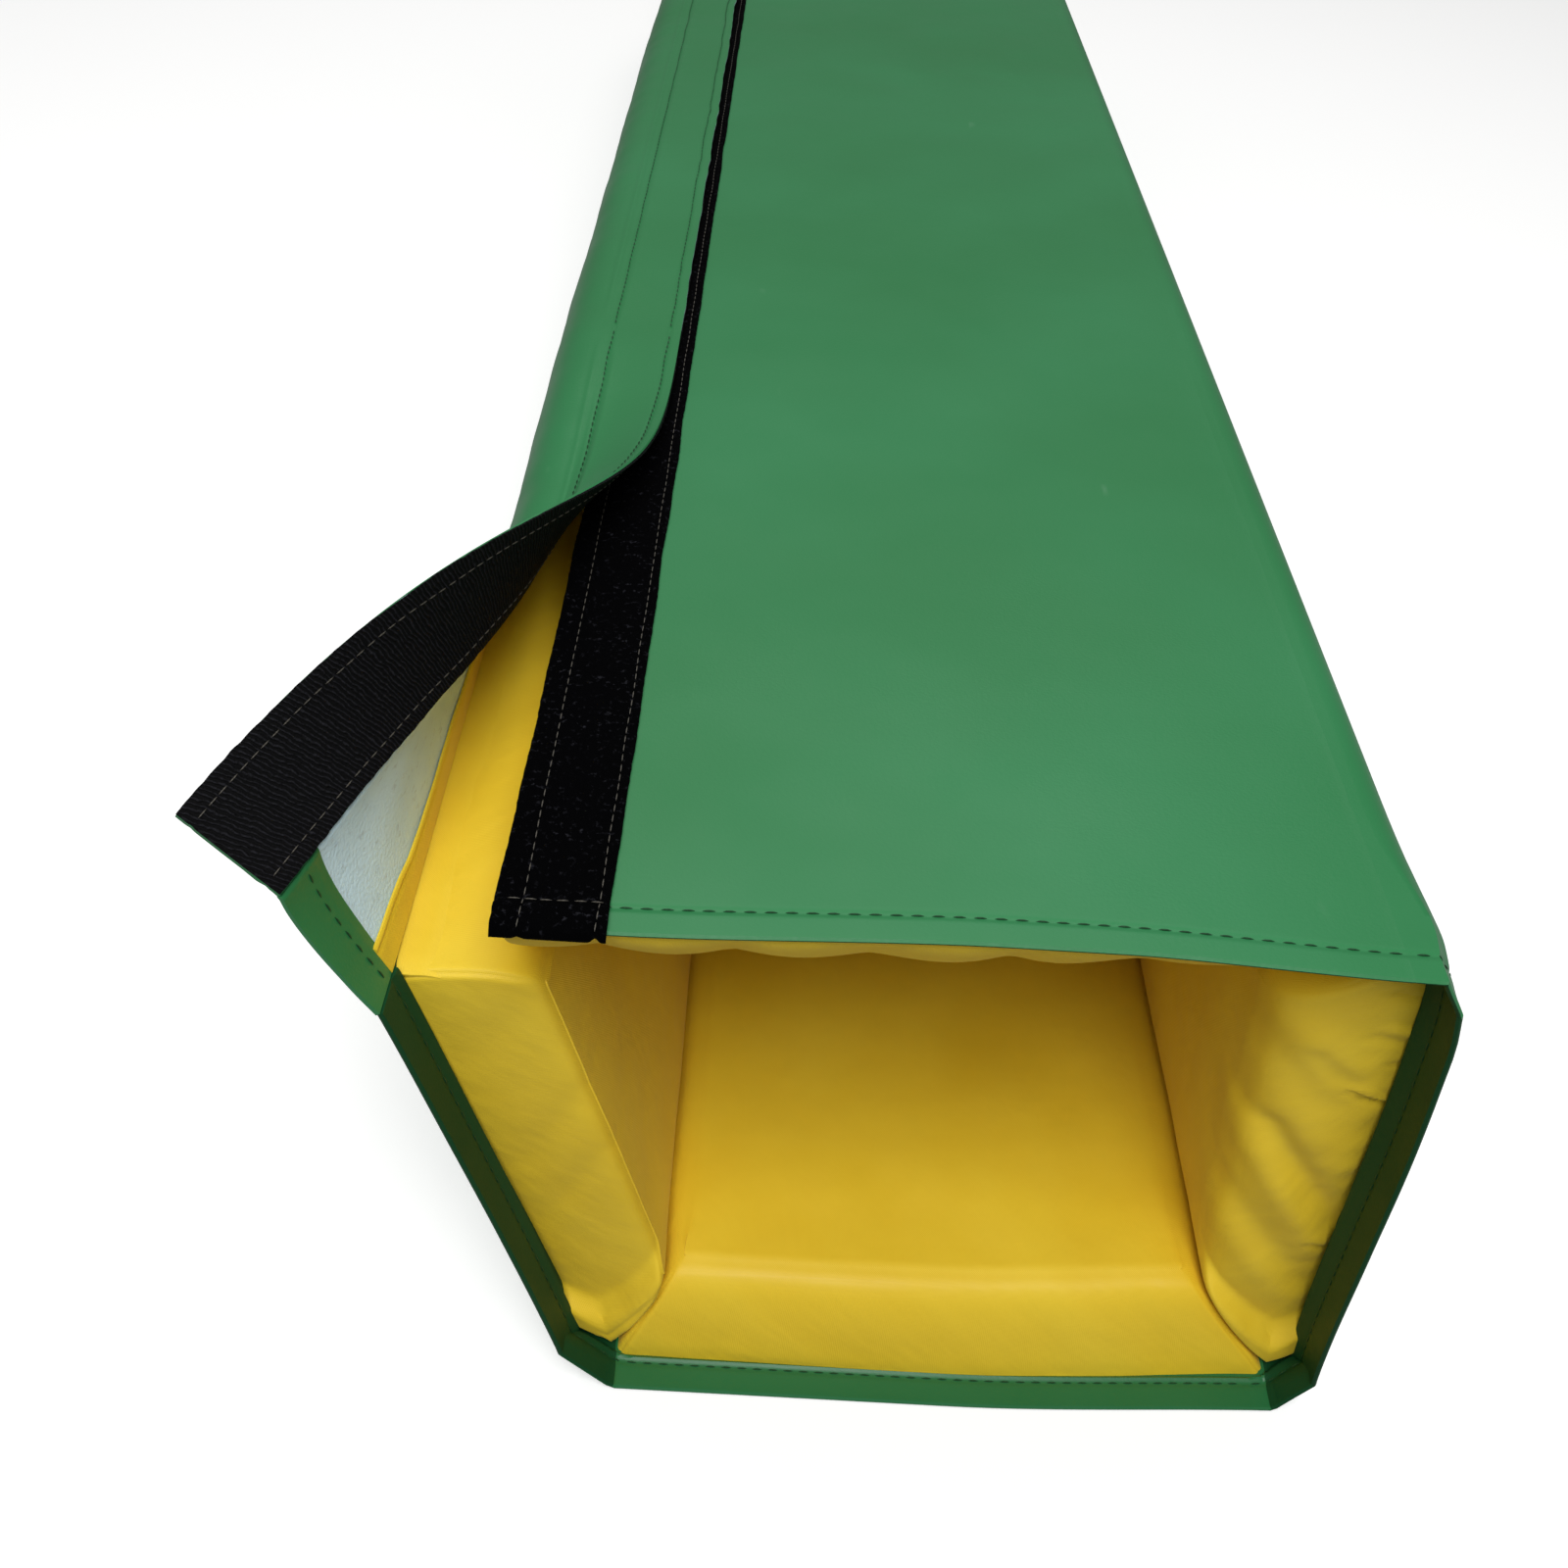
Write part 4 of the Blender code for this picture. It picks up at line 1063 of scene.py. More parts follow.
def corner_seam(sizes, first, second, cuts, hems, sign, way):
    """Path of the hem's stitches round a fold, on its outer (way -1) or inner side, and their normals."""
    count = 24
    share = smooth(np.linspace(0, 1, count))
    y = sign * (sizes.end - (hems[0][1] + (hems[1][1] - hems[0][1]) * share))
    line, inward, _, across = corner_places(sizes, first, second, cuts, y)
    column = np.interp(np.linspace(0, across[-1], count), across, np.arange(len(across)))
    at, low = np.arange(count), np.minimum(column.astype(int), len(across) - 2)
    part = (column - low)[:, None]
    place, facing_in = (grid[at, low] * (1 - part) + grid[at, low + 1] * part for grid in (line, inward))
    facing_in = unit(facing_in)
    depth = STITCH_SINK if way < 0 else sizes.hem_thick - STITCH_SINK
    return in_space(place + facing_in * depth, y), in_space(facing_in, 0.0) * way


# ---------------------------------------------------------------- materials


def add_node(tree, kind, values):
    """Adds one node. values names its inputs and properties: a node is linked by its first output, a socket
    is linked itself, and anything else is set."""
    node = tree.nodes.new("ShaderNode" + kind)
    for key, value in values.items():
        source = value.outputs[0] if isinstance(value, bpy.types.Node) else value
        if isinstance(source, bpy.types.NodeSocket):
            tree.links.new(source, node.inputs[key])
        elif isinstance(key, int) or key in node.inputs:
            node.inputs[key].default_value = value
        else:
            setattr(node, key, value)
    return node


def new_material(name):
    """An empty node material, its tree, and the cloth's own coordinates in metres."""
    material = bpy.data.materials.new(name)
    material.use_nodes = True
    tree = material.node_tree
    tree.nodes.clear()
    return material, tree, add_node(tree, "UVMap", {"uv_map": "cloth"})


def rgba(colour, depth=1.0):
    """An opaque colour for a node, darkened by depth."""
    return (*(depth * c for c in colour), 1.0)


def shaded_turned_vinyl(colours):
    """The same cloth where it is turned in at the side hems and on the folds, drawn at 0.28 of its colour as
    painted shade, and rougher and less glossy.
    """
    return coated_vinyl(colours, "shaded_turned_vinyl", 0.28, 0.12, 0.12)


def shaded_back_hem_vinyl(colours):
    """The same cloth where it is turned up at the back panel's hems, drawn at 0.72 of its colour as painted
    shade, lighter than the side hems' as it faces up.
    """
    return coated_vinyl(colours, "shaded_back_hem_vinyl", 0.72)


def coated_vinyl(colours, name="coated_vinyl", depth=1.0, rougher=0.0, specular=0.4):
    """PVC-coated polyester, calendered with a fine leather print: a satin face that shows soft dents, with
    paler patches and a few short scuffs. The print is 0.6 mm on the real cloth, and is drawn at 1.3 mm so
    that it shows."""
    material, tree, cloth = new_material(name)
    # A depth below 1 darkens both colours for the hem copies, as painted shade.
    deep, light = rgba(colours.vinyl, depth), rgba(colours.vinyl_light, depth)
    patches = add_node(tree, "TexNoise", {"Vector": cloth, "Scale": 1 / 0.22, "Detail": 3})
    patches = add_node(tree, "MapRange", {"Value": patches, "From Min": 0.35, "From Max": 0.65})
    face = add_node(tree, "Mix", {"data_type": "RGBA", 0: patches, 6: deep, 7: light})
    spots = add_node(tree, "TexNoise", {"Vector": cloth, "Scale": 1 / 0.05})
    spots = add_node(tree, "MapRange", {"Value": spots, "From Min": 0.66, "From Max": 0.74})
    drawn = add_node(tree, "Mapping", {"Vector": cloth, "Scale": (1.0, 0.12, 1.0)})
    lines = add_node(tree, "TexNoise", {"Vector": drawn, "Scale": 1 / 0.012})
    fade = {"From Min": 0.62, "From Max": 0.7, "To Max": 0.35 * depth}
    lines = add_node(tree, "MapRange", {"Value": lines, **fade})
    scuffs = add_node(tree, "Math", {"operation": "MULTIPLY", 0: spots, 1: lines})
    marks = {0: scuffs, 6: face.outputs[2], 7: rgba(colours.scuff)}
    base = add_node(tree, "Mix", {"data_type": "RGBA", **marks})
    dents = add_node(tree, "TexNoise", {"Vector": cloth, "Scale": 1 / 0.09})
    dents = add_node(tree, "Bump", {"Height": dents, "Distance": 0.0008})
    along = add_node(tree, "Mapping", {"Vector": cloth, "Scale": (1.0, 0.5, 1.0)})
    creases = add_node(tree, "TexNoise", {"Vector": along, "Scale": 1 / 0.02, "Detail": 3})
    creases = add_node(tree, "Bump", {"Height": creases, "Distance": 0.00010, "Normal": dents})
    grain = add_node(tree, "TexNoise", {"Vector": cloth, "Scale": 1 / 0.0013})
    grain = add_node(tree, "Bump", {"Height": grain, "Distance": 0.00006, "Normal": creases})
    gloss = add_node(tree, "TexNoise", {"Vector": cloth, "Scale": 1 / 0.05, "Detail": 4})
    satin = {"From Min": 0.3, "From Max": 0.7, "To Min": 0.32 + rougher, "To Max": 0.42 + rougher}
    gloss = add_node(tree, "MapRange", {"Value": gloss, **satin})
    looks = {"Base Color": base.outputs[2], "Roughness": gloss, "Normal": grain}
    shader = add_node(tree, "BsdfPrincipled", {**looks, "IOR": 1.45, "Specular IOR Level": specular})
    add_node(tree, "OutputMaterial", {"Surface": shader})
    return material


def nylon_lining(colours):
    """Plain-woven nylon taffeta: a silky face with fine creases. Threads are 0.2 mm apart on the real
    cloth, and are drawn 0.9 mm apart so that they show."""
    material, tree, cloth = new_material("nylon_lining")
    deep, light = rgba(colours.lining_deep), rgba(colours.lining)
    patches = add_node(tree, "TexNoise", {"Vector": cloth, "Scale": 1 / 0.09, "Detail": 3})
    patches = add_node(tree, "MapRange", {"Value": patches, "From Min": 0.3, "From Max": 0.7})
    base = add_node(tree, "Mix", {"data_type": "RGBA", 0: patches, 6: deep, 7: light})
    crumple = {"Detail": 3, "Roughness": 0.55}
    wrinkles = add_node(tree, "TexNoise", {"Vector": cloth, "Scale": 1 / 0.045, **crumple})
    wrinkles = add_node(tree, "Bump", {"Height": wrinkles, "Distance": 0.0014})
    along = add_node(tree, "Mapping", {"Vector": cloth, "Scale": (1.0, 0.45, 1.0)})
    fine = add_node(tree, "TexNoise", {"Vector": along, "Scale": 1 / 0.011, **crumple})
    fine = add_node(tree, "Bump", {"Height": fine, "Distance": 0.00022, "Normal": wrinkles})
    place = add_node(tree, "SeparateXYZ", {"Vector": cloth}).outputs
    threads = []
    for way in ("X", "Y"):
        turns = add_node(tree, "Math", {"operation": "MULTIPLY", 0: place[way], 1: 2 * math.pi / 0.0009})
        threads.append(add_node(tree, "Math", {"operation": "SINE", 0: turns, 1: 0.0}))
    weave = add_node(tree, "Math", {"operation": "MULTIPLY", 0: threads[0], 1: threads[1]})
    weave = add_node(tree, "Bump", {"Height": weave, "Distance": 0.00003, "Normal": fine})
    gloss = add_node(tree, "TexNoise", {"Vector": cloth, "Scale": 1 / 0.03, "Detail": 3})
    silky = {"From Min": 0.3, "From Max": 0.7, "To Min": 0.42, "To Max": 0.55}
    gloss = add_node(tree, "MapRange", {"Value": gloss, **silky})
    looks = {"Base Color": base.outputs[2], "Roughness": gloss, "Normal": weave}
    sheen = {"Sheen Weight": 0.05, "Sheen Roughness": 0.4}
    shader = add_node(tree, "BsdfPrincipled", {**looks, "IOR": 1.45, "Specular IOR Level": 0.4, **sheen})
    add_node(tree, "OutputMaterial", {"Surface": shader})
    return material


def loop_pile(colours):
    """Knitted nylon loop tape with a napped pile: matt black, with the tips of its tufts painted grey as
    painted highlights, fewer in some patches. The real tufts are finer than 1 mm, and are drawn about 1.4 mm
    across so that they show."""
    material, tree, cloth = new_material("loop_pile")
    fuzzy = {"Scale": 1 / 0.0026, "Detail": 3, "Roughness": 0.7}
    tufts = add_node(tree, "TexNoise", {"Vector": cloth, **fuzzy})
    lit = add_node(tree, "MapRange", {"Value": tufts, "From Min": 0.58, "From Max": 0.70})
    patches = add_node(tree, "TexNoise", {"Vector": cloth, "Scale": 1 / 0.012, "Detail": 3})
    # These patches thin out the painted highlights on the tips.
    lit_spread = {"From Min": 0.4, "From Max": 0.65, "To Min": 0.15}
    patches = add_node(tree, "MapRange", {"Value": patches, **lit_spread})
    tips = add_node(tree, "Math", {"operation": "MULTIPLY", 0: lit, 1: patches})
    black, grey = rgba(colours.loop), rgba(colours.tape_tips)
    base = add_node(tree, "Mix", {"data_type": "RGBA", 0: tips, 6: black, 7: grey})
    nap = add_node(tree, "Bump", {"Height": tufts, "Distance": 0.0020})
    looks = {"Base Color": base.outputs[2], "Normal": nap}
    shader = add_node(tree, "BsdfPrincipled", {**looks, "Roughness": 0.95, "Specular IOR Level": 0.03})
    add_node(tree, "OutputMaterial", {"Surface": shader})
    return material


def hook_strip(colours):
    """Woven nylon hook tape: cross ribs 1.2 mm apart on the real one, drawn 1.7 mm apart, with stubby hooks
    between them, whose crests are painted grey as painted highlights, so that the black breaks into short
    bright and dark bars."""
    material, tree, cloth = new_material("hook_strip")
    slant = add_node(tree, "Mapping", {"Vector": cloth, "Rotation": (0.0, 0.0, 0.33)})
    ribs = {"bands_direction": "Y", "Scale": 2 * math.pi / 20 / 0.0017, "Distortion": 5.0, "Detail": 2.0}
    ribs = add_node(tree, "TexWave", {"Vector": slant, **ribs}).outputs["Fac"]
    stubby = {"Scale": 1 / 0.0016, "Detail": 3, "Roughness": 0.7}
    tufts = add_node(tree, "TexNoise", {"Vector": cloth, **stubby})
    hooks = add_node(tree, "Math", {"operation": "MULTIPLY", 0: ribs, 1: tufts})
    tips = add_node(tree, "MapRange", {"Value": hooks, "From Min": 0.3, "From Max": 0.65, "To Max": 0.6})
    black, grey = rgba(colours.hook), rgba(colours.tape_tips)
    base = add_node(tree, "Mix", {"data_type": "RGBA", 0: tips, 6: black, 7: grey})
    stubs = add_node(tree, "Bump", {"Height": hooks, "Distance": 0.0012})
    looks = {"Base Color": base.outputs[2], "Normal": stubs}
    shader = add_node(tree, "BsdfPrincipled", {**looks, "Roughness": 0.75, "Specular IOR Level": 0.12})
    add_node(tree, "OutputMaterial", {"Surface": shader})
    return material


def scrim_backing(colours):
    """Knitted polyester scrim on the vinyl's back: pale, matt and flecked with grey where the coat shows.
    Its knit is 0.8 mm on the real cloth, and is drawn at 1.6 mm so that it shows."""
    material, tree, cloth = new_material("scrim_backing")
    along = add_node(tree, "Mapping", {"Vector": cloth, "Scale": (1.0, 0.6, 1.0)})
    ragged = {"Scale": 1 / 0.0040, "Detail": 4, "Roughness": 0.65}
    flecks = add_node(tree, "TexNoise", {"Vector": along, **ragged})
    sparse = {"From Min": 0.58, "From Max": 0.74, "To Max": 0.5}
    flecks = add_node(tree, "MapRange", {"Value": flecks, **sparse})
    cloud = add_node(tree, "TexNoise", {"Vector": cloth, "Scale": 1 / 0.03, "Detail": 3})
    cloud = add_node(tree, "MapRange", {"Value": cloud, "From Min": 0.3, "From Max": 0.7, "To Max": 0.4})
    light, shade = rgba(colours.backing), rgba(colours.backing_shade)
    pale = add_node(tree, "Mix", {"data_type": "RGBA", 0: cloud, 6: light, 7: shade})
    marks = {0: flecks, 6: pale.outputs[2], 7: rgba(colours.backing_fleck)}
    base = add_node(tree, "Mix", {"data_type": "RGBA", **marks})
    knit = add_node(tree, "TexNoise", {"Vector": cloth, "Scale": 1 / 0.0016, "Detail": 3})
    knit = add_node(tree, "Bump", {"Height": knit, "Distance": 0.00035})
    looks = {"Base Color": base.outputs[2], "Normal": knit}
    shader = add_node(tree, "BsdfPrincipled", {**looks, "Roughness": 0.9})
    add_node(tree, "OutputMaterial", {"Surface": shader})
    return material


def sewing_thread(name, colour):
    """Bonded polyester thread, twisted from three plies: a slight gloss, with turns 1.5 mm apart painted 0.7
    darker as painted shade in the grooves between plies.
    """
    material, tree, cloth = new_material(name)
    twist = {"bands_direction": "DIAGONAL", "Scale": 420.0}
    turns = add_node(tree, "TexWave", {"Vector": cloth, **twist}).outputs["Fac"]
    dark, light = rgba(colour, 0.7), rgba(colour)
    base = add_node(tree, "Mix", {"data_type": "RGBA", 0: turns, 6: dark, 7: light})
    plies = add_node(tree, "Bump", {"Height": turns, "Distance": 0.00006})
    looks = {"Base Color": base.outputs[2], "Normal": plies}
    shader = add_node(tree, "BsdfPrincipled", {**looks, "Roughness": 0.55, "Specular IOR Level": 0.3})
    add_node(tree, "OutputMaterial", {"Surface": shader})
    return material


def green_thread(colours):
    """The thread of the hems and the flap."""
    return sewing_thread("green_thread", colours.green_thread)


def grey_thread(colours):
    """The thread of the tapes."""
    return sewing_thread("grey_thread", colours.grey_thread)


def cell_foam(colours):
    """Cut open-cell foam: matt, pitted by cells of about 1.5 mm, whose hollows are painted darker as painted
    shade.
    """
    material, tree, cloth = new_material("cell_foam")
    cells = add_node(tree, "TexVoronoi", {"Vector": cloth, "Scale": 1 / 0.0028})
    walls = add_node(tree, "MapRange", {"Value": cells, "From Max": 0.7})
    dark, light = rgba(colours.foam, 0.72), rgba(colours.foam)
    base = add_node(tree, "Mix", {"data_type": "RGBA", 0: walls, 6: dark, 7: light})
    pits = add_node(tree, "Bump", {"Height": cells, "Distance": 0.0008})
    looks = {"Base Color": base.outputs[2], "Normal": pits}
    shader = add_node(tree, "BsdfPrincipled", {**looks, "Roughness": 0.95})
    add_node(tree, "OutputMaterial", {"Surface": shader})
    return material


# How much of the white background glossy rays see: the pad has no metal or glass, and a full share hazes
# the vinyl over where it is seen at a low angle
SHINE = 0.19
# The floor's own glow for the camera, which makes it white and keeps its shadow, and the light of the sky
FLOOR_GLOW, SKY = 0.34, 0.22


def backdrop_seen(tree):
    """How much of the white background each ray sees: all of it straight or through something clear, and
    SHINE of it in a reflection. The first is the light path's own outputs."""
    path = add_node(tree, "LightPath", {}).outputs
    straight = {0: path["Is Camera Ray"], 1: path["Is Transmission Ray"]}
    straight = add_node(tree, "Math", {"operation": "MAXIMUM", **straight})
    shine = add_node(tree, "Math", {"operation": "MULTIPLY", 0: path["Is Glossy Ray"], 1: SHINE})
    return path, add_node(tree, "Math", {"operation": "MAXIMUM", 0: straight, 1: shine})


def studio_floor(colours):
    """Matt white studio paper: pale to the camera, where a faint glow brings it to white and leaves the
    shadow, and greyer as it lights the pad. It is plain on purpose, with no pattern."""
    material, tree, _ = new_material("studio_floor")
    _, seen = backdrop_seen(tree)
    lit, pale = rgba(colours.floor_light), rgba(colours.floor)
    base = add_node(tree, "Mix", {"data_type": "RGBA", 0: seen, 6: lit, 7: pale})
    glow = add_node(tree, "MapRange", {"Value": seen, "To Max": FLOOR_GLOW})
    looks = {"Base Color": base.outputs[2], "Emission Strength": glow, "Emission Color": (1, 1, 1, 1)}
    shader = add_node(tree, "BsdfPrincipled", {**looks, "Roughness": 0.9, "Specular IOR Level": 0.1})
    add_node(tree, "OutputMaterial", {"Surface": shader})
    return material


MAKERS = {
    maker.__name__: maker
    for maker in (
        coated_vinyl,
        shaded_turned_vinyl,
        shaded_back_hem_vinyl,
        nylon_lining,
        loop_pile,
        hook_strip,
        scrim_backing,
        green_thread,
        grey_thread,
        cell_foam,
        studio_floor,
    )
}


# ---------------------------------------------------------------- operators


class PadOperator:
    """What the piece operators share."""

    bl_options = {"REGISTER", "UNDO"}

    def prepare(self, context):
        """Takes the scene's sizes and colours, and works the section out from them."""
        scene = context.scene
        self.sizes, self.flap_sizes, self.colours = scene.pad_sizes, scene.pad_flap, scene.pad_colours
        self.section = Section(self.sizes, self.flap_sizes)

    def material(self, name):
        """The material of this name, made when it is first asked for."""
        return bpy.data.materials.get(name) or MAKERS[name](self.colours)


class PAD_OT_covers(PadOperator, bpy.types.Operator):
    """Makes the four cover panels with their end hems and hem stitches"""

    bl_idname = "pad.covers"
    bl_label = "Cover panels"

    def execute(self, context):
        self.prepare(context)
        sizes, section = self.sizes, self.section
        thread = self.material("green_thread")
        left, right, front = (fold_reach(sizes, cuts) for cuts in FOLD_CUTS.values())
        spans = {
            "back": (left, section.back.face - right),
            "left": (left, section.left.face - 0.0002),
            "right": (right, section.right.face - front),
            "front": (front, section.front.face - 0.0004),
        }
        sags = {"back": 0.0, "left": 0.0009, "right": 0.0010, "front": 0.0009}
        for number, name in enumerate(PANELS):
            panel, span, hem, seed = getattr(section, name), spans[name], HEMS[name], 11 + 7 * number
            # The hems' inner sides and last lip take a darker copy of the vinyl as painted shade: a lighter
            # one on the back panel, whose hem faces up.
            turned = "shaded_back_hem_vinyl" if name == "back" else "shaded_turned_vinyl"
            vinyl = [self.material("coated_vinyl"), self.material(turned)]
            cover = make_cover(sizes, panel, f"{name}_cover_sheet", span, sags[name], seed, hem, vinyl)
            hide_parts(f"{name}_cover", f"{name}_hem_near", f"{name}_hem_far")
            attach(cover, f"{name}_panel")
            s = np.linspace(span[0], span[1], 80)
            threads = []
            for end, sign in (("near", -1), ("far", 1)):
                for side, way, depth in (("out", 1, 0.0005), ("in", -1, sizes.hem_thick - STITCH_SINK)):
                    y = np.full_like(s, sign * (sizes.end - hem[1]))
                    path = panel.place(s, y, depth + cover_dent(s, y, span, sags[name], seed))
                    normal = np.broadcast_to(panel.outward * way, path.shape)
                    title = f"{name}_hem_stitches_{end}_{side}"
                    row = make_stitches(title, path, normal, thread, HEM_SEWING)
                    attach(row, f"{name}_panel")
                    threads.append(row)
            if name == "right":
                # The right cover and its stitches get meshes of their own.
                inward, pressed = -panel.outward, panel.place(0.0, 0.0, sizes.cover)
                for piece in (cover, *threads):
                    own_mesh(piece)
                    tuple(inward)
                    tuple(pressed)
        return {"FINISHED"}


class PAD_OT_corners(PadOperator, bpy.types.Operator):
    """Makes the three folded corners of the cover and their hem stitches"""

    bl_idname = "pad.corners"
    bl_label = "Folded corners"

    def execute(self, context):
        self.prepare(context)
        sizes, section = self.sizes, self.section
        vinyl = [self.material(name) for name in ("coated_vinyl", "shaded_turned_vinyl", "shaded_back_hem_vinyl")]
        thread = self.material("green_thread")
        for (first, second), cuts in FOLD_CUTS.items():
            a, b = getattr(section, first), getattr(section, second)
            hems = (HEMS[first], HEMS[second])
            name = f"corner_{first}_{second}"
            corner = make_corner(sizes, a, b, f"{name}_fold", cuts, hems, vinyl)
            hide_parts(name)
            rounded = rounded_line(sizes, a, b, cuts)
            start, end = ((x, 0.0, z) for x, z in (rounded[CREASE_FOOT], rounded[-1 - CREASE_FOOT]))
            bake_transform(corner)
            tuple(start)
            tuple(end)
            for end_name, sign in (("near", -1), ("far", 1)):
                for side, way in (("out", -1), ("in", 1)):
                    title = f"{name}_hem_stitches_{end_name}_{side}"
                    path, normal = corner_seam(sizes, a, b, cuts, hems, sign, way)
                    row = make_stitches(title, path, normal, thread, HEM_SEWING)
                    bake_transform(row)
                    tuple(start)
                    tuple(end)
            flat = (float(distances(rounded)[-1]), 2 * (sizes.end + hems[0][0]))
        return {"FINISHED"}


class PAD_OT_linings(PadOperator, bpy.types.Operator):
    """Makes the nylon linings, the foam boards in them, and the lining's edge along the flap's root"""

    bl_idname = "pad.linings"
    bl_label = "Linings and foam boards"

    def execute(self, context):
        self.prepare(context)
        sizes, section = self.sizes, self.section
        nylon, foam_material = self.material("nylon_lining"), self.material("cell_foam")
        limits = board_limits(section, sizes)
        for number, name in enumerate(PANELS):
            panel = getattr(section, name)
            lining = make_lining(sizes, name, panel, limits[name], 101 + 5 * number, nylon)
            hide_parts(f"{name}_lining")
            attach(lining, f"{name}_panel")
            foam = make_foam(sizes, name, panel, limits[name], foam_material)
            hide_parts(f"{name}_foam")
            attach(foam, f"{name}_panel")
        bridge = make_root_lining(sizes, section, nylon)
        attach(bridge, "left_panel")
        return {"FINISHED"}


class PAD_OT_loop_tape(PadOperator, bpy.types.Operator):
    """Makes the loop tape along the front panel's left edge, with its stitches"""

    bl_idname = "pad.loop_tape"
    bl_label = "Loop tape"

    def execute(self, context):
        self.prepare(context)
        sizes, section, flap = self.sizes, self.section, self.flap_sizes
        tape = make_loop_tape(section, sizes, flap, self.material("loop_pile"))
        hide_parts("loop_tape")
        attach(tape, "front_panel")
        panel, thread, threads = section.front, self.material("grey_thread"), []
        lift = SEAT + flap.loop
        y = np.linspace(-sizes.end - 0.0035, sizes.end - 0.004, 900)
        turned = loop_fold(y + sizes.end + LOOP_PAST)
        paths = []
        for title, inset in (("outer", LOOP_STITCH[0]), ("inner", LOOP_STITCH[1])):
            s = panel.face - inset - 0.0004 * ripple(0, y, 0.05, 5 + int(inset * 1000))
            paths.append((title, panel.place(s, y, -lift - turned + 0.0004)))
        s = np.linspace(panel.face - 0.0030, panel.face - LOOP_STITCH[1] - 0.002, 40)
        wander = 0.0006 * ripple(s, 0, 0.03, 6)
        paths.append(("end", panel.place(s, -sizes.end + 0.0105 + wander, -lift - 0.0002)))
        for title, path in paths:
            normal = np.broadcast_to((0, 0, 1.0), path.shape)
            row = make_stitches(f"loop_stitches_{title}", path, normal, thread, TAPE_SEWING)
            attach(row, "front_panel")
            threads.append(row)
        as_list(threads)
        return {"FINISHED"}


class PAD_OT_flap(PadOperator, bpy.types.Operator):
    """Makes the flap: the closed far length, and the root and edge strips of the peeled near length"""

    bl_idname = "pad.flap"
    bl_label = "Flap"

    def execute(self, context):
        self.prepare(context)
        sizes, section, wide = self.sizes, self.section, self.flap_sizes
        flap = Flap(section, wide, sizes)
        cloth = [self.material("coated_vinyl"), self.material("scrim_backing")]
        hook, nylon = self.material("hook_strip"), self.material("nylon_lining")
        rides = {
            "flap": lambda piece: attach(piece, "flap"),
            "flap_root_opened": lambda piece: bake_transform(piece),
            "flap_edge_opened": lambda piece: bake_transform(piece),
        }
        ridge = flap.root_width - 0.006
        smooth_lanes, ridge_lanes = np.linspace(0, ridge, 26), np.linspace(ridge, flap.root_width, 9)
        root_lanes = np.concatenate([smooth_lanes[:-1], ridge_lanes])
        edge_lanes = flap.root_width + ends_dense(0.0, wide.hook_width, 0.009, 0.0006, 0.003)
        all_lanes = np.concatenate([root_lanes, edge_lanes[1:]])
        near, far = (0.0, wide.peel), (wide.peel, flap.far)
        root_nodes = ("flap_root_near", "flap_root_hem_near")
        for title, body, nodes, span, lanes in (
            ("flap_closed", "flap", ("flap_cover", "flap_hem_far"), far, all_lanes),
            ("flap_root_strip", "flap_root_opened", root_nodes, near, root_lanes),
            ("flap_edge_strip", "flap_edge_opened", ("flap_edge_near",), near, edge_lanes),
        ):
            piece = make_flap_cloth(title, flap, span, lanes, cloth)
            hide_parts(*nodes)
            rides[body](piece)
            threads = self.flap_threads(flap, title, span)
            for row in threads:
                rides[body](row)
        for title, body, slot, span in (
            ("hook_tape_far", "flap", "hook_tape", (wide.peel, flap.far - wide.tape_short)),
            ("hook_tape_peeled", "flap_edge_opened", "hook_tape_near", (-0.0004, wide.peel)),
        ):
            tape = make_hook_tape(title, flap, span, hook)
            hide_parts(slot)
            rides[body](tape)
            rest = "loop_tape_pile" if body == "flap" else "flap_edge_strip"
        for title, body, span, rest in (
            ("flap_seam_far", "flap", (wide.peel, flap.far - HEM_TURN), "flap_closed"),
            ("flap_seam_near", "flap_root_opened", (HEM_TURN - 0.002, wide.peel), "flap_root_strip"),
        ):
            seam = make_seam_lining(title, flap, span, nylon)
            rides[body](seam)
        return {"FINISHED"}

    def flap_threads(self, flap, title, span):
        """Rows of stitches on one length of the flap: the two along its tape and the one in its hem, each
        on the outer face (way 1) and on the inner side (way -1)."""
        wide, rows, out = flap.flap, [], -THREAD_LIFT
        green, grey = self.material("green_thread"), self.material("grey_thread")
        if title != "flap_root_strip":
            along = np.linspace(span[0] + 0.002, span[1] - 0.002, int((span[1] - span[0]) / 0.002))
            under = wide.cloth * (1 + turned_in(HEM_TURN, along)) + HOOK_GAP
            under += wide.hook * HOOK_BASE + THREAD_LIFT
            for side, inset in (("inner", TAPE_STITCH[0]), ("outer", wide.hook_width - TAPE_STITCH[1])):
                across = flap.root_width + inset + 0.0004 * ripple(0, along, 0.05, 71)
                rows += [
                    (f"{title}_stitches_{side}", across, along, out, 1, green, FLAP_SEWING),
                    (f"{title}_tape_stitches_{side}", across, along, under, -1, grey, TAPE_SEWING),
                ]
        if title != "flap_edge_strip":
            across = np.linspace(0.002, flap.root_width - 0.001, 60)
            at_hem = np.full_like(across, HEM_STITCH if span[0] < HEM_TURN else flap.far - HEM_STITCH)
            under = 2 * wide.cloth + THREAD_LIFT
            rows += [
                (f"{title}_hem_stitches_out", across, at_hem, out, 1, green, HEM_SEWING),
                (f"{title}_hem_stitches_in", across, at_hem, under, -1, green, HEM_SEWING),
            ]
        threads = []
        for name, across, along, depth, way, thread, sewing in rows:
            path, normal = flap.place(across, along, depth), flap.normal(across, along) * way
            threads.append(make_stitches(name, path, normal, thread, sewing))
        return threads


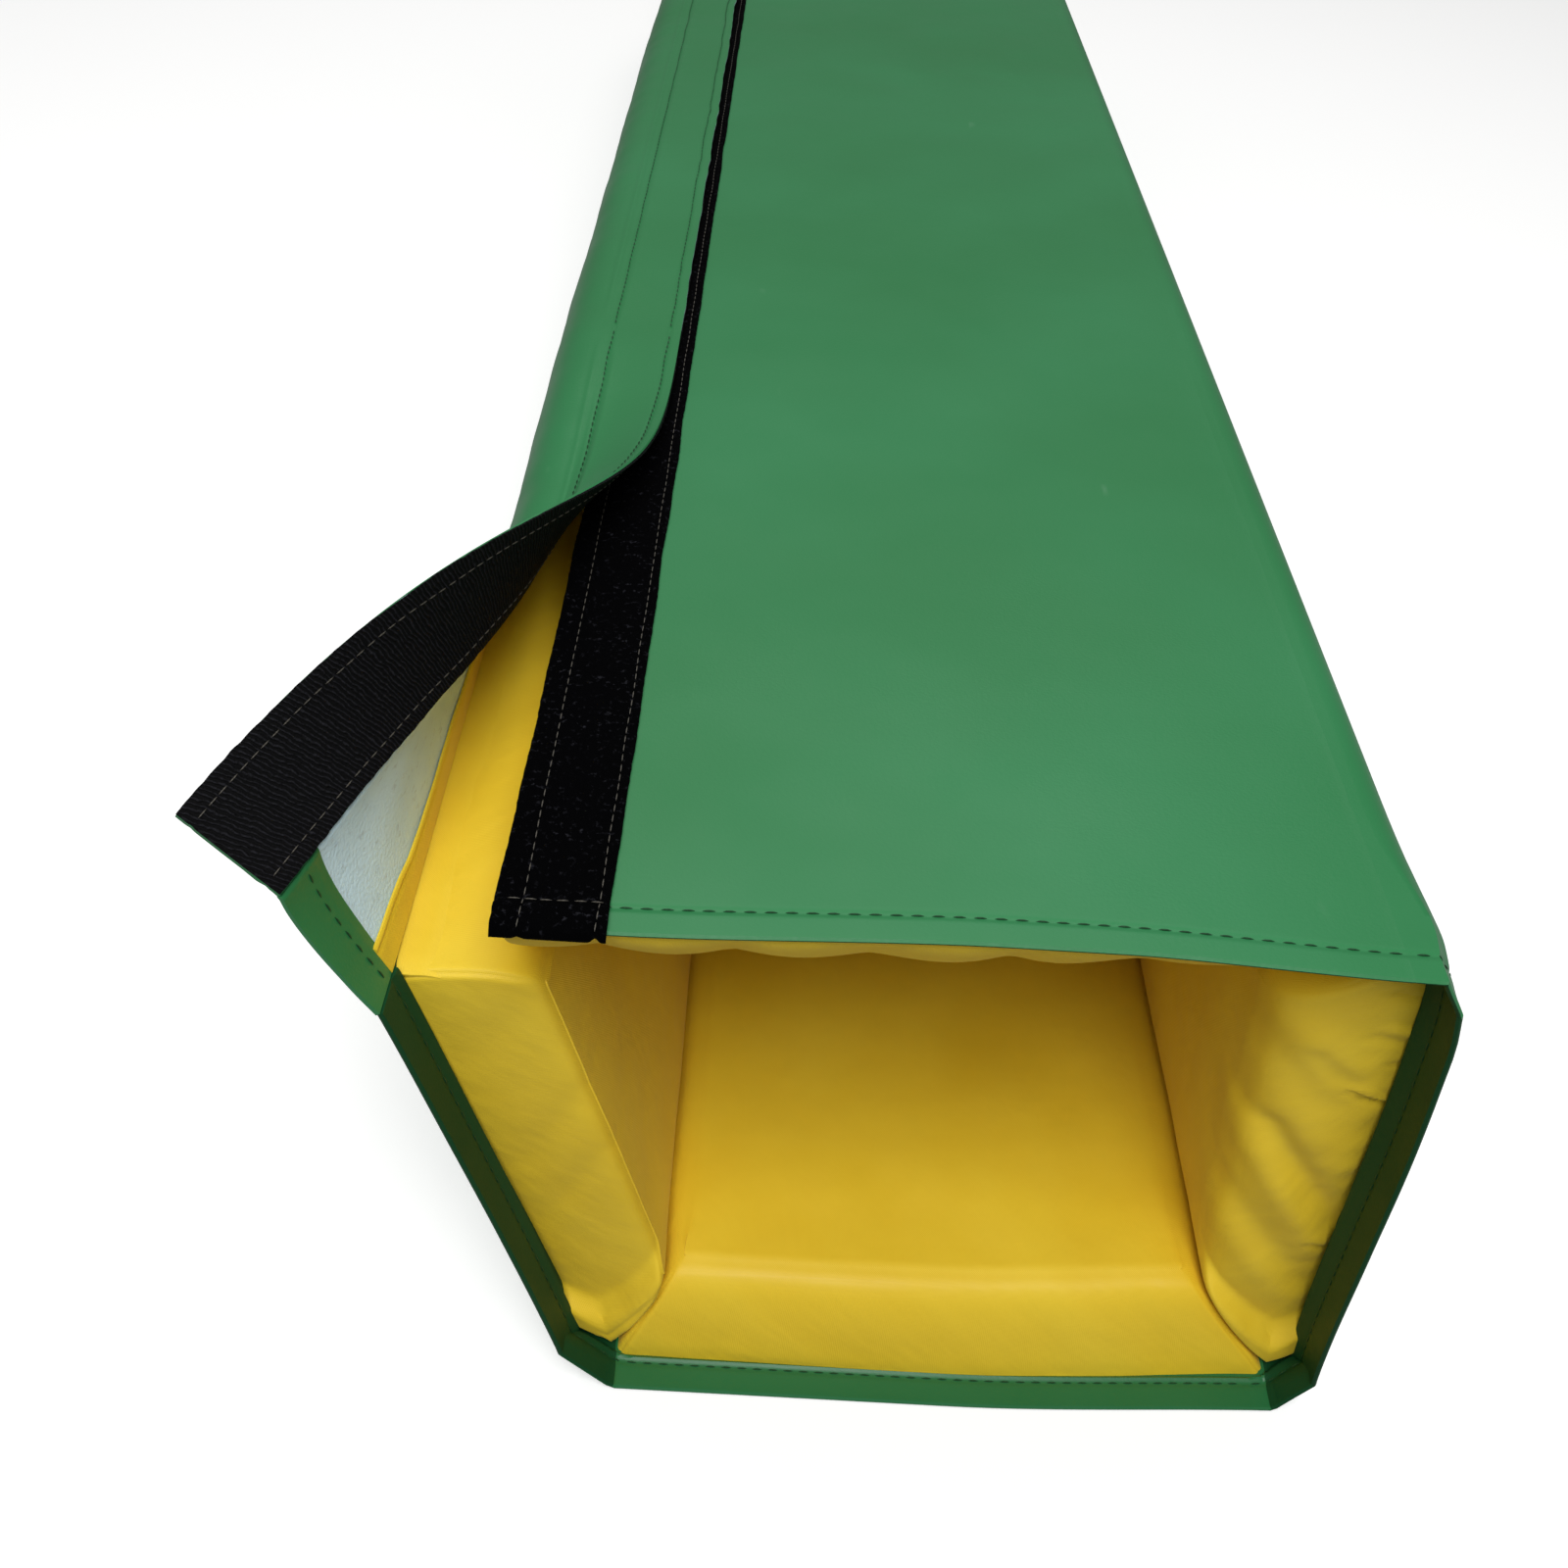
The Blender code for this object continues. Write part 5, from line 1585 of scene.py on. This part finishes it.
# The lamps: place, where each looks, size and power
LAMPS = {
    "key": ((-0.1, -2.35, 2.66), (0.0, -0.7, 0.1), 1.6, 67.0),
    "top": ((-0.1, 0.9, 2.8), (0.0, 0.1, 0.1), 2.4, 28.0),
}
# The camera as it was fitted to the photograph: focal length as a share of the picture's width, place, and
# its right, down and forward directions
FOCAL = 1.0202
CAMERA_PLACE = (-0.0990, -1.2430, 0.6303)
CAMERA_RIGHT = np.array((0.9977, 0.0236, 0.0628))
CAMERA_DOWN = np.array((0.0630, -0.6504, -0.7570))
CAMERA_AHEAD = np.array((0.0230, 0.7592, -0.6504))
# How far the floor reaches each way, and how far it lies under the pad
FLOOR_REACH, FLOOR_DROP = 30.0, 0.0004


def put_posed(name, data, right, up, away, place):
    """Adds a lamp or camera at this place, by its right, up and backward directions."""
    obj = bpy.data.objects.new(name, data)
    bpy.context.scene.collection.objects.link(obj)
    pose = np.eye(4)
    pose[:3] = np.stack([right, up, away, place], axis=1)
    obj.matrix_world = Matrix(pose.tolist())
    return obj


class PAD_OT_studio(PadOperator, bpy.types.Operator):
    """Sets the floor, the soft studio light and the camera"""

    bl_idname = "pad.studio"
    bl_label = "Studio"

    def execute(self, context):
        self.prepare(context)
        scene = context.scene
        ways = np.array([(-1, -1), (1, -1), (1, 1), (-1, 1)])
        points = np.column_stack([ways * FLOOR_REACH, np.full(4, -FLOOR_DROP)])
        paper = [self.material("studio_floor")]
        floor = put_mesh("studio_floor", points, np.array([[0, 1, 2, 3]]), points[:, :2], paper)

        world = bpy.data.worlds.new("studio")
        world.use_nodes = True
        tree = world.node_tree
        tree.nodes.clear()
        path, seen = backdrop_seen(tree)
        sky = add_node(tree, "Math", {"operation": "MULTIPLY", 0: path["Is Diffuse Ray"], 1: SKY})
        strength = add_node(tree, "Math", {"operation": "MAXIMUM", 0: seen, 1: sky})
        back = add_node(tree, "Background", {"Color": (1, 1, 1, 1), "Strength": strength})
        add_node(tree, "OutputWorld", {"Surface": back})
        scene.world = world

        for name, (spot, aim, size, power) in LAMPS.items():
            lamp = bpy.data.lights.new(name, "AREA")
            lamp.shape, lamp.size, lamp.energy = "SQUARE", size, power
            away = unit(np.array(spot) - np.array(aim))
            right = unit(np.cross((0, 0, 1.0), away))
            put_posed(name, lamp, right, np.cross(away, right), away, spot)

        lens = bpy.data.cameras.new("photo_camera")
        lens.sensor_width, lens.lens = 36.0, 36.0 * FOCAL
        axes = (CAMERA_RIGHT, -CAMERA_DOWN, -CAMERA_AHEAD)
        scene.camera = put_posed("photo_camera", lens, *axes, CAMERA_PLACE)
        scene.view_settings.view_transform = "Standard"
        return {"FINISHED"}


PIECES = (PAD_OT_linings, PAD_OT_covers, PAD_OT_corners, PAD_OT_loop_tape, PAD_OT_flap, PAD_OT_studio)


class PAD_PT_sidebar(bpy.types.Panel):
    """Lists the pad's pieces in the sidebar"""

    bl_label = "Post Pad"
    bl_idname = "PAD_PT_sidebar"
    bl_space_type = "VIEW_3D"
    bl_region_type = "UI"
    bl_category = "Post Pad"

    def draw(self, context):
        for piece in PIECES:
            self.layout.operator(piece.bl_idname)
        for group in (context.scene.pad_sizes, context.scene.pad_flap, context.scene.pad_colours):
            column = self.layout.column(align=True)
            for name in group.__annotations__:
                column.prop(group, name)


CLASSES = (PadSizes, FlapSizes, PadColours, *PIECES, PAD_PT_sidebar)


def register():
    for cls in CLASSES:
        bpy.utils.register_class(cls)
    bpy.types.Scene.pad_sizes = bpy.props.PointerProperty(type=PadSizes)
    bpy.types.Scene.pad_flap = bpy.props.PointerProperty(type=FlapSizes)
    bpy.types.Scene.pad_colours = bpy.props.PointerProperty(type=PadColours)


def unregister():
    del bpy.types.Scene.pad_colours, bpy.types.Scene.pad_flap, bpy.types.Scene.pad_sizes
    for cls in reversed(CLASSES):
        bpy.utils.unregister_class(cls)


def main():
    register()
    bpy.ops.pad.linings()
    bpy.ops.pad.covers()
    bpy.ops.pad.corners()
    bpy.ops.pad.loop_tape()
    bpy.ops.pad.flap()
    bpy.ops.pad.studio()


if __name__ == "__main__":
    main()
